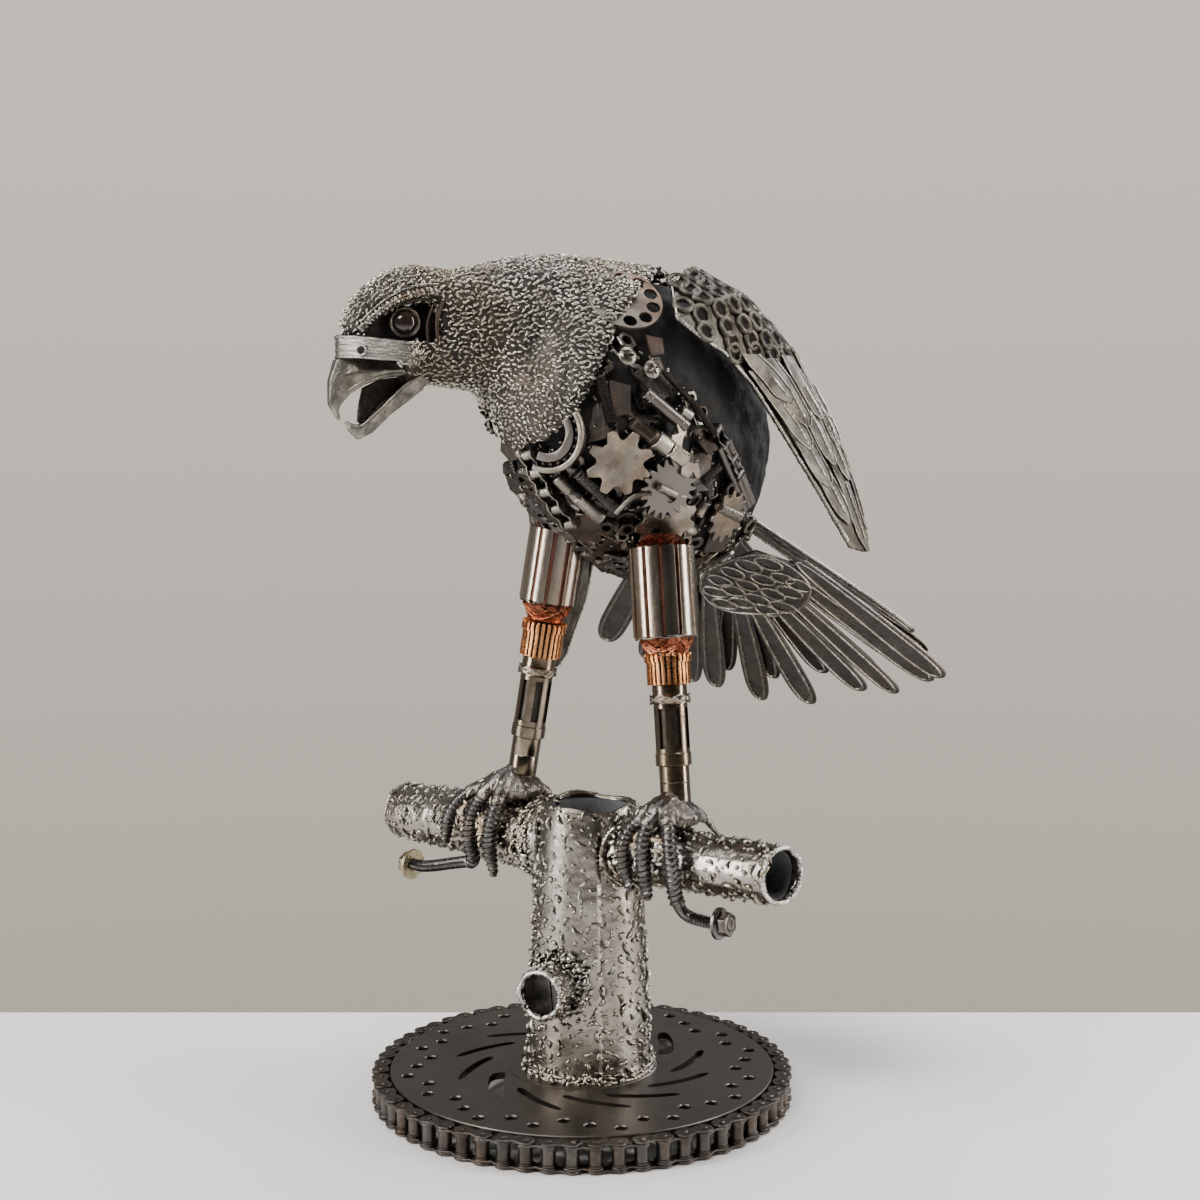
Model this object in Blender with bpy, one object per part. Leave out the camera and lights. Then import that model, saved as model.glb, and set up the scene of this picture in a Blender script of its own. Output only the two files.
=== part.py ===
# %% [markdown]
# Eagle sculpture of welded scrap metal on a pipe perch, standing on a disc ringed with roller chain.
# Heights below are measured from the chain ring's foot; the last cell lowers everything so that the
# origin lies at the centre of the disc's underside. The perch runs along X and the bird faces -Y.

# %%
import math

import bmesh
import bpy
from mathutils import Matrix, Vector
from mathutils.bvhtree import BVHTree

DISC_UNDERSIDE = 0.0165
GAP = 0.0003
TAU = 2 * math.pi

for obj in list(bpy.data.objects):
    bpy.data.objects.remove(obj, do_unlink=True)


# %% [markdown]
# Helpers: closed bodies from rings, tubes along a path, flat plates, and Boolean cuts.

# %%
def body(name, verts, faces):
    bm = bmesh.new()
    made = [bm.verts.new(v) for v in verts]
    for face in faces:
        bm.faces.new([made[i] for i in face])
    bmesh.ops.remove_doubles(bm, verts=bm.verts, dist=1e-6)
    bmesh.ops.recalc_face_normals(bm, faces=bm.faces)
    if bm.calc_volume(signed=True) < 0:
        bmesh.ops.reverse_faces(bm, faces=bm.faces)
    bmesh.ops.triangulate(bm, faces=bm.faces)
    mesh = bpy.data.meshes.new(name)
    bm.to_mesh(mesh)
    bm.free()
    obj = bpy.data.objects.new(name, mesh)
    bpy.context.scene.collection.objects.link(obj)
    return obj


def loft(name, rings):
    count = len(rings[0])
    verts = [v for ring in rings for v in ring]
    faces = []
    for r in range(len(rings) - 1):
        for i in range(count):
            j = (i + 1) % count
            a, b = r * count, (r + 1) * count
            faces.append((a + i, a + j, b + j, b + i))
    faces.append(tuple(range(count))[::-1])
    last = (len(rings) - 1) * count
    faces.append(tuple(range(last, last + count)))
    return body(name, verts, faces)


def frame_for(direction, up=Vector((0, 0, 1))):
    w = Vector(direction).normalized()
    if abs(w.dot(up)) > 0.99:
        up = Vector((0, 1, 0))
    u = up.cross(w).normalized()
    v = w.cross(u)
    return u, v, w


def circle(centre, u, v, radius, sides, turn=0.0, radius_v=None):
    centre = Vector(centre)
    rv = radius if radius_v is None else radius_v
    out = []
    for i in range(sides):
        a = TAU * (i + turn) / sides
        out.append(centre + u * radius * math.cos(a) + v * rv * math.sin(a))
    return out


def turned(name, base, direction, profile, sides, turn=0.5):
    u, v, w = frame_for(direction)
    base = Vector(base)
    return loft(name, [circle(base + w * h, u, v, r, sides, turn) for h, r in profile])


def tube(name, points, radii, sides):
    points = [Vector(p) for p in points]
    rings = []
    u = None
    for i, p in enumerate(points):
        before = points[max(i - 1, 0)]
        after = points[min(i + 1, len(points) - 1)]
        w = (after - before).normalized()
        if u is None:
            u, v, w = frame_for(w, Vector((0.1, 0.3, 1)).normalized())
        else:
            u = (u - w * u.dot(w)).normalized()
            v = w.cross(u)
        rings.append(circle(p, u, v, radii[i], sides))
    return loft(name, rings)


def plate(name, outline, centre, normal, along, thick):
    n = Vector(normal).normalized()
    a = Vector(along)
    a = (a - n * a.dot(n)).normalized()
    b = n.cross(a)
    low = [Vector(centre) + a * x + b * y - n * thick / 2 for x, y in outline]
    high = [p + n * thick for p in low]
    return loft(name, [low, high])


def cut(obj, cutter, operation="DIFFERENCE", keep=False):
    mod = obj.modifiers.new("cut", "BOOLEAN")
    mod.operation = operation
    mod.solver = "EXACT"
    mod.object = cutter
    depsgraph = bpy.context.evaluated_depsgraph_get()
    mesh = bpy.data.meshes.new_from_object(obj.evaluated_get(depsgraph))
    obj.modifiers.clear()
    old = obj.data
    obj.data = mesh
    bpy.data.meshes.remove(old)
    if not keep:
        bpy.data.objects.remove(cutter, do_unlink=True)
    bm = bmesh.new()
    bm.from_mesh(obj.data)
    bmesh.ops.remove_doubles(bm, verts=bm.verts, dist=2e-5)
    bmesh.ops.dissolve_degenerate(bm, edges=bm.edges, dist=2e-5)
    bmesh.ops.triangulate(bm, faces=bm.faces)
    bm.to_mesh(obj.data)
    bm.free()
    return obj


def inflated(obj, amount):
    bm = bmesh.new()
    bm.from_mesh(obj.data)
    bm.normal_update()
    moves = [(v, v.normal.copy() * amount * min(v.calc_shell_factor(), 2.0)) for v in bm.verts]
    for v, step in moves:
        v.co += step
    mesh = bpy.data.meshes.new("swollen")
    bm.to_mesh(mesh)
    bm.free()
    copy = bpy.data.objects.new("swollen", mesh)
    bpy.context.scene.collection.objects.link(copy)
    return copy


def tree(obj):
    bm = bmesh.new()
    bm.from_mesh(obj.data)
    found = BVHTree.FromBMesh(bm)
    bm.free()
    return found


def clear_of(obj, others, amount=0.0004):
    for other in others:
        swollen = inflated(other, amount)
        if tree(obj).overlap(tree(swollen)):
            cut(obj, swollen)
        else:
            bpy.data.objects.remove(swollen, do_unlink=True)
    return obj


def largest(obj):
    bm = bmesh.new()
    bm.from_mesh(obj.data)
    todo = set(bm.verts)
    groups = []
    while todo:
        stack = [todo.pop()]
        group = set(stack)
        while stack:
            for edge in stack.pop().link_edges:
                for v in edge.verts:
                    if v in todo:
                        todo.discard(v)
                        group.add(v)
                        stack.append(v)
        groups.append(group)
    keep = max(groups, key=len)
    bmesh.ops.delete(bm, geom=[v for v in bm.verts if v not in keep], context="VERTS")
    bm.to_mesh(obj.data)
    bm.free()
    return obj


# %% [markdown]
# The chain ring: sixty links of 5/8 inch chain drawn tight round the disc, a lower and an upper
# ring of plates with the rollers standing between them.

# %%
LINKS = 60
PIN_RADIUS = 0.1491
PLATE_HALF = 0.0066
WAIST_HALF = 0.0046
CHAIN_TOP = 0.0215
PLATE_STACK = 0.0036
ROLLER_RADIUS = 0.0044


def scalloped(z0, z1, name):
    verts = []
    faces = []
    for pair in range(LINKS // 2):
        first = TAU * 2 * pair / LINKS
        half_link = TAU / LINKS / 2
        corners = [(PIN_RADIUS - PLATE_HALF, first)]
        for step, r in enumerate((PIN_RADIUS + PLATE_HALF, PIN_RADIUS + WAIST_HALF) * 2):
            corners.append((r, first + step * half_link))
        for r, t in corners:
            for z in (z0, z1):
                verts.append((r * math.cos(t), r * math.sin(t), z))
    for pair in range(LINKS // 2):
        here = 10 * pair
        there = 10 * ((pair + 1) % (LINKS // 2))
        for low in (0, 1):
            outer_edge = [here + 2 * k + low for k in (1, 2, 3, 4)] + [there + 2 + low]
            faces += [(here + low, a, b) for a, b in zip(outer_edge[:2], outer_edge[1:3])]
            faces.append((here + low, outer_edge[2], there + low))
            faces += [(there + low, a, b) for a, b in zip(outer_edge[2:4], outer_edge[3:])]
        faces.append((here, here + 1, there + 1, there))
        walls = [here + 2, here + 4, here + 6, here + 8, there + 2]
        faces += [(a, a + 1, b + 1, b) for a, b in zip(walls, walls[1:])]
    return body(name, verts, faces)


def rollers(z0, z1, name):
    verts = []
    faces = []
    for link in range(LINKS):
        a = TAU * link / LINKS
        centre = Vector((PIN_RADIUS * math.cos(a), PIN_RADIUS * math.sin(a), 0))
        start = len(verts)
        for z in (z0, z1):
            for k in range(3):
                t = a + math.pi + TAU * k / 3
                verts.append(centre + Vector((math.cos(t), math.sin(t), 0)) * ROLLER_RADIUS * 1.3
                             + Vector((0, 0, z)))
        for k in range(3):
            j = (k + 1) % 3
            faces.append((start + k, start + j, start + 3 + j, start + 3 + k))
        faces.append((start + 2, start + 1, start))
        faces.append((start + 3, start + 4, start + 5))
    return body(name, verts, faces)


chain = scalloped(0.0, PLATE_STACK, "chain_ring")
upper_plates = scalloped(CHAIN_TOP - PLATE_STACK, CHAIN_TOP, "upper_plates")
pillars = rollers(PLATE_STACK - 0.0008, CHAIN_TOP - PLATE_STACK + 0.0008, "pillars")
cut(chain, pillars, "UNION")
cut(chain, upper_plates, "UNION")

# %% [markdown]
# The brake disc: forty drilled holes in eight slanting rows and twelve swept slots.

# %%
DISC_TOP = 0.0215
DISC_RIM = PIN_RADIUS - PLATE_HALF - 0.0005
HOLE_RADII = (0.1141, 0.1221, 0.1295, 0.1182, 0.1259)
FIRST_HOLE = math.radians(32.4)
HOLE_RADIUS = 0.0047
HOLE_SIDES = 5
SLOT_ENDS = (142, 172, 202, 232, 262, 292, 318, 347, 17, 48, 78, 110)
WIDE_SLOTS = (232, 48)
SLOT_SWEEP = math.radians(33)

disc_rim = []
for i in range(LINKS // 2):
    a = TAU * 2 * i / LINKS
    disc_rim.append((DISC_RIM * math.cos(a), DISC_RIM * math.sin(a)))
disc = loft("brake_disc", [[(x, y, DISC_UNDERSIDE) for x, y in disc_rim],
                           [(x, y, DISC_TOP) for x, y in disc_rim]])
verts, faces = [], []
for n in range(40):
    a = FIRST_HOLE + math.radians(9) * n
    r = HOLE_RADII[n % 5]
    start = len(verts)
    for z in (DISC_UNDERSIDE - 0.002, DISC_TOP + 0.002):
        for k in range(HOLE_SIDES):
            t = a + TAU * k / HOLE_SIDES
            verts.append((r * math.cos(a) + HOLE_RADIUS * math.cos(t),
                          r * math.sin(a) + HOLE_RADIUS * math.sin(t), z))
    for k in range(HOLE_SIDES):
        j = (k + 1) % HOLE_SIDES
        faces.append((start + k, start + j, start + HOLE_SIDES + j, start + HOLE_SIDES + k))
    faces.append(tuple(start + k for k in range(HOLE_SIDES))[::-1])
    faces.append(tuple(start + HOLE_SIDES + k for k in range(HOLE_SIDES)))
for end in SLOT_ENDS:
    wide = end in WIDE_SLOTS
    a1 = math.radians(end + 38)
    a0 = a1 - SLOT_SWEEP
    r0, r1 = (0.064, 0.0905) if wide else (0.069, 0.0945)
    half = (0.0018, 0.0056, 0.0040) if wide else (0.0022, 0.0026, 0.0022)
    start = len(verts)
    line = []
    for s in (0.0, 0.5, 1.0):
        a = a0 + (a1 - a0) * s
        r = r0 + (r1 - r0) * s ** 1.2
        line.append((Vector((math.cos(a), math.sin(a), 0)) * r, Vector((math.cos(a), math.sin(a), 0))))
    loop = [p + n * h for (p, n), h in zip(line, half)]
    loop += [p - n * h for (p, n), h in zip(line[::-1], half[::-1])]
    for z in (DISC_UNDERSIDE - 0.002, DISC_TOP + 0.002):
        verts += [p + Vector((0, 0, z)) for p in loop]
    for k in range(6):
        j = (k + 1) % 6
        faces.append((start + k, start + j, start + 6 + j, start + 6 + k))
    faces.append(tuple(start + k for k in range(6))[::-1])
    faces.append(tuple(start + 6 + k for k in range(6)))
cut(disc, body("disc_openings", verts, faces))

# %% [markdown]
# The perch: a tapered trunk open at the top, two branches and a short knot, all of pipe.

# %%
PERCH_HEIGHT = 0.187
TRUNK_X, TRUNK_Y = 0.0038, 0.0035
TRUNK_WALL = 0.003
TRUNK_OUTSIDE = ((0.0218, 0.0495), (0.028, 0.0462), (0.075, 0.0438), (PERCH_HEIGHT - 0.037, 0.0400),
                 (PERCH_HEIGHT + 0.013, 0.0366))
TRUNK_RIM = PERCH_HEIGHT + 0.0305
TRUNK_RIM_RADIUS = 0.0352
TRUNK_SIDES = 16
RIM_WAVES = ((3, 0.0016, 0.4), (5, 0.0010, 1.3))


def trunk_radius(h):
    low = TRUNK_OUTSIDE[0]
    for high in TRUNK_OUTSIDE[1:] + ((TRUNK_RIM, TRUNK_RIM_RADIUS),):
        if h <= high[0]:
            return low[1] + (high[1] - low[1]) * (h - low[0]) / (high[0] - low[0])
        low = high
    return TRUNK_RIM_RADIUS


def trunk_ring(h, radius, ragged=0.0):
    ring = []
    for i in range(TRUNK_SIDES):
        a = TAU * i / TRUNK_SIDES
        rise = sum(size * math.sin(k * a + p) for k, size, p in RIM_WAVES) * ragged
        ring.append((TRUNK_X + radius * math.cos(a), TRUNK_Y + radius * math.sin(a), h + rise))
    return ring


def pipe(name, outside, inside):
    rings = outside + inside[::-1]
    count = len(rings[0])
    total = len(rings)
    verts = [v for ring in rings for v in ring]
    faces = []
    for k in range(total):
        a, b = k * count, ((k + 1) % total) * count
        for i in range(count):
            j = (i + 1) % count
            faces.append((a + i, a + j, b + j, b + i))
    return body(name, verts, faces)


outer = [trunk_ring(h, r) for h, r in TRUNK_OUTSIDE] + [trunk_ring(TRUNK_RIM, TRUNK_RIM_RADIUS, 1.0)]
inner = [trunk_ring(h, r - TRUNK_WALL) for h, r in TRUNK_OUTSIDE[:2] + TRUNK_OUTSIDE[3:4]]
inner += [trunk_ring(TRUNK_RIM, TRUNK_RIM_RADIUS - TRUNK_WALL, 1.0)]
trunk = pipe("trunk", outer, inner)
trunk_fill = loft("trunk_fill", [trunk_ring(h, r + 0.0004) for h, r in
                                 ((0.0, 0.052),) + TRUNK_OUTSIDE + ((TRUNK_RIM + 0.0225, 0.0338),)])

PERCH_LEFT_LENGTH = 0.1710
PERCH_RIGHT_LENGTH = 0.186


def branch(name, sign, length, root_radius, end_radius, wall, rise, slant):
    sides = 14
    root = Vector((TRUNK_X + sign * 0.012, TRUNK_Y, PERCH_HEIGHT))
    end = Vector((sign * length, TRUNK_Y, PERCH_HEIGHT + rise))
    u, v = Vector((0, sign, 0)), Vector((0, 0, 1))
    middle = root.lerp(end, 0.45)
    middle_radius = root_radius + (end_radius - root_radius) * 0.62
    outside, inside = [], []
    for centre, radius in ((root, root_radius), (middle, middle_radius), (end, end_radius)):
        outside.append(circle(centre, u, v, radius, sides))
        inside.append(circle(centre, u, v, radius - wall, sides))
    for ring in (outside[-1], inside[-1]):
        for i, p in enumerate(ring):
            a = TAU * i / sides
            wave = 0.0012 * math.sin(3 * a + 0.7) + 0.0008 * math.sin(7 * a)
            p.x += sign * (wave + slant * math.cos(a))
    made = pipe(name, outside, [inside[0], inside[-1]])
    cut(made, trunk_fill, keep=True)
    return largest(made)


perch_left = branch("perch_left", 1, PERCH_LEFT_LENGTH, 0.0228, 0.0200, 0.0024, 0.0015, 0.0035)
perch_right = branch("perch_right", -1, PERCH_RIGHT_LENGTH, 0.0292, 0.0212, 0.0026, 0.0015, 0.0)

KNOT_HEIGHT = 0.0915
KNOT_TURN = math.radians(8)
KNOT_SIDES = 12
knot_out = Vector((math.sin(KNOT_TURN), -math.cos(KNOT_TURN), 0))
knot_u = Vector((math.cos(KNOT_TURN), math.sin(KNOT_TURN), 0))
knot_v = Vector((0, 0, 1))
knot_root = Vector((TRUNK_X, TRUNK_Y, KNOT_HEIGHT)) + knot_out * 0.022
knot_end = Vector((TRUNK_X, TRUNK_Y, KNOT_HEIGHT)) + knot_out * 0.0685
knot_rim_out = circle(knot_end, knot_u, knot_v, 0.0180, KNOT_SIDES)
knot_rim_in = circle(knot_end, knot_u, knot_v, 0.0145, KNOT_SIDES)
for ring in (knot_rim_out, knot_rim_in):
    for i, p in enumerate(ring):
        p += knot_out * 0.0012 * math.sin(5 * TAU * i / KNOT_SIDES)
knot = pipe("knot_stub",
            [circle(knot_root, knot_u, knot_v, 0.0186, KNOT_SIDES), knot_rim_out],
            [circle(knot_root, knot_u, knot_v, 0.0150, KNOT_SIDES), knot_rim_in])
cut(knot, trunk_fill, keep=True)
largest(knot)

# %% [markdown]
# The trunk of the body: a rounded egg, front end high, with scrap seated on it.
# The bird's points are drawn for a perch at one height, and all of them ride with the perch.

# %%
DRAWN_PERCH = 0.187
RIDE = Vector((0, 0, PERCH_HEIGHT - DRAWN_PERCH))
TORSO_CENTRE = Vector((0.002, 0.0675, 0.492)) + RIDE
TORSO_TILT = math.radians(27)
TORSO_AHEAD = Vector((0, -math.cos(TORSO_TILT), math.sin(TORSO_TILT)))
TORSO_UP = Vector((0, math.sin(TORSO_TILT), math.cos(TORSO_TILT)))
TORSO_SIDE = Vector((1, 0, 0))
TORSO_LONG, TORSO_WIDE, TORSO_DEEP = 0.129, 0.079, 0.104
TORSO_POWER = 2.25
TORSO_REAR = TORSO_CENTRE - TORSO_AHEAD * TORSO_LONG


def torso_point(along, turn, grow=0.0):
    c, s = math.cos(along), math.sin(along)
    e = 2 / TORSO_POWER
    squash = abs(c) ** e
    a = (TORSO_LONG + grow) * math.copysign(abs(s) ** e, s)
    ct, st = math.cos(turn), math.sin(turn)
    x = (TORSO_WIDE + grow) * squash * math.copysign(abs(ct) ** e, ct)
    z = (TORSO_DEEP + grow) * squash * math.copysign(abs(st) ** e, st)
    return TORSO_CENTRE + TORSO_AHEAD * a + TORSO_SIDE * x + TORSO_UP * z


def torso_value(p, grow=0.0):
    d = p - TORSO_CENTRE
    k = TORSO_POWER
    return ((abs(d.dot(TORSO_AHEAD)) / (TORSO_LONG + grow)) ** k
            + (abs(d.dot(TORSO_SIDE)) / (TORSO_WIDE + grow)) ** k
            + (abs(d.dot(TORSO_UP)) / (TORSO_DEEP + grow)) ** k)


def torso_mesh(name, grow, sides=16, stations=9):
    rings = []
    for i in range(stations):
        along = math.pi * ((i + 0.5) / stations - 0.5)
        rings.append([torso_point(along, TAU * k / sides, grow) for k in range(sides)])
    verts = [v for ring in rings for v in ring]
    front = len(verts)
    verts += [torso_point(-math.pi / 2, 0, grow), torso_point(math.pi / 2, 0, grow)]
    faces = []
    for r in range(stations - 1):
        for k in range(sides):
            j = (k + 1) % sides
            faces.append((r * sides + k, r * sides + j, (r + 1) * sides + j, (r + 1) * sides + k))
    for k in range(sides):
        j = (k + 1) % sides
        faces.append((front, j, k))
        last = (stations - 1) * sides
        faces.append((front + 1, last + k, last + j))
    return body(name, verts, faces)


torso = torso_mesh("torso", 0.0)

# %% [markdown]
# Head, neck and breast: one welded skin that ends as a shell lying over the front of the body.
# The head looks 32 degrees to the bird's right.

# %%
HEAD_TURN = math.radians(32)
HEAD_AHEAD = Vector((-math.sin(HEAD_TURN), -math.cos(HEAD_TURN), 0))
HEAD_SIDE = Vector((math.cos(HEAD_TURN), -math.sin(HEAD_TURN), 0))
# The beak line is where the beak leaves the head. Every head point is drawn for a line at one height.
BEAK_LINE = 0.5366
DRAWN_LINE = 0.5366
HEAD_FROM = Vector((0, 0.02, BEAK_LINE - DRAWN_LINE)) + RIDE


def head(t, h, side=0.0):
    return HEAD_FROM + HEAD_AHEAD * t + HEAD_SIDE * side + Vector((0, 0, h))


HEAD_RINGS = (
    ((0.1880, 0.5700), (0.1880, 0.5560), 0.0110, 0.00),
    ((0.1790, 0.5845), (0.1830, 0.5510), 0.0185, 0.00),
    ((0.1590, 0.6005), (0.1600, 0.5450), 0.0245, 0.00),
    ((0.1370, 0.6060), (0.1440, 0.5180), 0.0280, 0.00),
    ((0.1190, 0.6035), (0.1270, 0.5225), 0.0305, 0.02),
    ((0.1000, 0.6050), (0.1080, 0.5205), 0.0345, 0.08),
    ((0.0800, 0.6100), (0.0915, 0.5170), 0.0410, 0.20),
    ((0.0600, 0.6145), (0.0790, 0.5060), 0.0500, 0.40),
    ((0.0350, 0.6165), (0.0660, 0.4900), 0.0600, 0.65),
)
# The rear edge of the mantle from the middle of the back, round the left side, to the breast.
MANTLE_EDGE = (
    (0.000, 0.096, 0.609), (0.025, 0.074, 0.608), (0.041, 0.038, 0.601), (0.050, 0.002, 0.582),
    (0.052, -0.024, 0.556), (0.050, -0.042, 0.526), (0.041, -0.052, 0.501), (0.021, -0.059, 0.482),
    (0.000, -0.060, 0.474),
)
MANTLE_LIFT = 0.0080
SKIN_SIDES = 16


def skin_ring(top, low, half, turn, power=2.1):
    centre = (top + low) / 2
    up = (top - low) / 2
    side = HEAD_SIDE.lerp(TORSO_SIDE, turn).normalized() * half
    ring = []
    for k in range(SKIN_SIDES):
        a = TAU * k / SKIN_SIDES
        c, s = math.cos(a), math.sin(a)
        e = 2 / power
        ring.append(centre + side * math.copysign(abs(c) ** e, c) + up * math.copysign(abs(s) ** e, s))
    return ring


def on_skin(p, lift, only_inside=False):
    if only_inside and torso_value(p, lift) >= 1:
        return p
    low, high = 0.5, 2.0
    for _ in range(30):
        mid = (low + high) / 2
        if torso_value(TORSO_CENTRE + (p - TORSO_CENTRE) * mid, lift) < 1:
            low = mid
        else:
            high = mid
    return TORSO_CENTRE + (p - TORSO_CENTRE) * high


rings = [skin_ring(head(*top), head(*low), half, turn) for top, low, half, turn in HEAD_RINGS]
quarter = SKIN_SIDES // 4
edge = []
for k in range(SKIN_SIDES):
    step = (quarter - k) % SKIN_SIDES
    far = step > 2 * quarter
    x, y, z = MANTLE_EDGE[SKIN_SIDES - step if far else step]
    edge.append(on_skin(Vector((-x if far else x, y, z)) + RIDE, MANTLE_LIFT))
for share in (0.4, 0.72):
    rings.append([on_skin(p.lerp(q, share) + Vector((0, 0, 0.004 * (1 - share))), MANTLE_LIFT, True)
                  for p, q in zip(rings[len(HEAD_RINGS) - 1], edge)])
rings.append(edge)
rings[:9] = [[on_skin(p, MANTLE_LIFT, True) for p in ring] for ring in rings[:9]]
mantle = loft("head_and_mantle", rings)
cut(mantle, inflated(torso, GAP))
largest(mantle)

SOCKET = ((0.1700, 0.5505), (0.1775, 0.5590), (0.1590, 0.5735), (0.1390, 0.5795), (0.1290, 0.5775),
          (0.1270, 0.5660), (0.1220, 0.5560), (0.1300, 0.5490))
for sign in (1, -1):
    near = [head(t, h, sign * 0.040) for t, h in SOCKET]
    deep = [head(t * 0.96 + 0.005, h * 0.9 + 0.0565, sign * 0.0165) for t, h in SOCKET]
    cut(mantle, loft("socket", [near, deep]))
largest(mantle)

# %% [markdown]
# Eyes, brows, nose band, the open beak and the plate inside the mouth.

# %%
EYE_T, EYE_UP, EYE_RADIUS = 0.1490, 0.0274, 0.0112
for name, sign in (("eye_left", 1), ("eye_right", -1)):
    look = (HEAD_SIDE * sign + HEAD_AHEAD * 0.12).normalized()
    eye = turned(name, head(EYE_T, DRAWN_LINE + EYE_UP, sign * 0.0170), look,
                 ((0.0, EYE_RADIUS), (0.0060, EYE_RADIUS), (0.0066, 0.0095), (0.0086, 0.0052)), 12)
    clear_of(mantle, [eye])
BROW = ((0.1805, 0.5585, 0.0195), (0.1715, 0.5680, 0.0245), (0.1600, 0.5770, 0.0277),
        (0.1440, 0.5835, 0.0298), (0.1285, 0.5845, 0.0315))
for name, sign in (("brow_left", 1), ("brow_right", -1)):
    brow = tube(name, [head(t, h, sign * s) for t, h, s in BROW], (0.0027,) * 5, 6)
    clear_of(brow, [mantle], 0.0003)
    largest(brow)

BAND = ((0.1430, 0.0300), (0.1640, 0.0278), (0.1790, 0.0225), (0.1880, 0.0150), (0.1925, 0.0060))
BAND_THICK = 0.0022
BAND_TALL = 0.0129
BAND_START = BAND[0][0]
outline = [(t, s) for t, s in BAND] + [(t, -s) for t, s in BAND[::-1]]
inside = [(t - 0.0006 if i in (0, 9) else t - 0.0016, s - math.copysign(BAND_THICK, s))
          for i, (t, s) in enumerate(outline)]
low, high = [], []
for t, s in outline + inside[::-1]:
    low.append(head(t, DRAWN_LINE + 0.068 * (t - BAND_START), s))
    high.append(head(t, DRAWN_LINE + BAND_TALL + 0.110 * (t - BAND_START), s))
band = loft("nose_band", [low, high])
clear_of(band, [mantle], 0.0003)
largest(band)

UPPER_BEAK = (
    ((0.1430, 0.5368), (0.1440, 0.5285), 0.0165),
    ((0.1640, 0.5372), (0.1620, 0.5262), 0.0150),
    ((0.1840, 0.5385), (0.1760, 0.5212), 0.0125),
    ((0.1940, 0.5395), (0.1850, 0.5150), 0.0100),
    ((0.1990, 0.5240), (0.1905, 0.5085), 0.0065),
    ((0.1993, 0.5080), (0.1922, 0.5045), 0.0038),
    ((0.1925, 0.4968), (0.1905, 0.4972), 0.0012),
)
rings = []
for top, low, half in UPPER_BEAK:
    t0, h0 = top
    t1, h1 = low
    rings.append([head(t0, h0, -half * 0.75), head(t0, h0, half * 0.75),
                  head((t0 + t1) / 2, (h0 + h1) / 2, half), head(t1, h1, half * 0.85),
                  head(t1, h1, -half * 0.85), head((t0 + t1) / 2, (h0 + h1) / 2, -half)])
upper_beak = loft("upper_beak", rings)
clear_of(upper_beak, [mantle, band], 0.0003)
largest(upper_beak)

LOWER_BEAK = (
    ((0.1300, 0.5315), (0.1340, 0.5185), 0.0180),
    ((0.1470, 0.5225), (0.1440, 0.5105), 0.0150),
    ((0.1600, 0.5090), (0.1560, 0.5015), 0.0118),
    ((0.1700, 0.4995), (0.1690, 0.4885), 0.0092),
    ((0.1770, 0.4925), (0.1785, 0.4838), 0.0066),
    ((0.1835, 0.4935), (0.1850, 0.4895), 0.0034),
    ((0.1868, 0.4962), (0.1872, 0.4950), 0.0010),
)
WALL = 0.0016
rings = []
for top, low, half in LOWER_BEAK:
    t0, h0 = top
    t1, h1 = low
    inner_half = max(half - WALL, half * 0.4)
    floor_t, floor_h = t1 + (t0 - t1) * 0.25, h1 + (h0 - h1) * 0.25
    rings.append([head(t0, h0, -half), head(t1, h1, -half * 0.55), head(t1, h1, half * 0.55),
                  head(t0, h0, half), head(t0, h0, inner_half), head(floor_t, floor_h, inner_half * 0.5),
                  head(floor_t, floor_h, -inner_half * 0.5), head(t0, h0, -inner_half)])
lower_beak = loft("lower_beak", rings)
clear_of(lower_beak, [mantle, upper_beak, band], 0.0003)
largest(lower_beak)

MOUTH = ((0.1748, 0.5200), (0.1790, 0.4960), (0.1745, 0.4940), (0.1660, 0.5065), (0.1545, 0.5150),
         (0.1410, 0.5260), (0.1450, 0.5300), (0.1620, 0.5262))
mouth = loft("mouth_plate", [[head(t, h, -0.0012) for t, h in MOUTH], [head(t, h, 0.0012) for t, h in MOUTH]])
clear_of(mouth, [mantle, upper_beak, lower_beak], 0.0003)
largest(mouth)

# %% [markdown]
# Wings: cupped shells standing off the body, stepped at the back where feathers end.

# %%
WING_THICK = 0.0032
LEFT_WING = (
    ((0.0540, 0.0351, 0.5969), (0.0540, 0.0600, 0.6065), (0.0400, 0.0860, 0.6065)),
    ((0.0800, 0.0062, 0.5678), (0.0800, 0.0765, 0.5865), (0.0620, 0.1180, 0.5840)),
    ((0.0880, 0.0228, 0.5553), (0.0880, 0.1010, 0.5670), (0.0700, 0.1400, 0.5640)),
    ((0.0920, 0.0469, 0.5458), (0.0920, 0.1275, 0.5470), (0.0760, 0.1620, 0.5450)),
    ((0.0980, 0.0756, 0.5232), (0.0980, 0.1430, 0.5230), (0.0850, 0.1720, 0.5210)),
    ((0.1030, 0.0976, 0.4983), (0.1030, 0.1625, 0.4970), (0.0930, 0.1860, 0.4960)),
    ((0.1150, 0.1348, 0.4505), (0.1150, 0.1810, 0.4505), (0.1080, 0.1980, 0.4510)),
    ((0.1290, 0.1650, 0.4030), (0.1300, 0.1890, 0.3990), (0.1280, 0.1960, 0.4030)),
)
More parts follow.
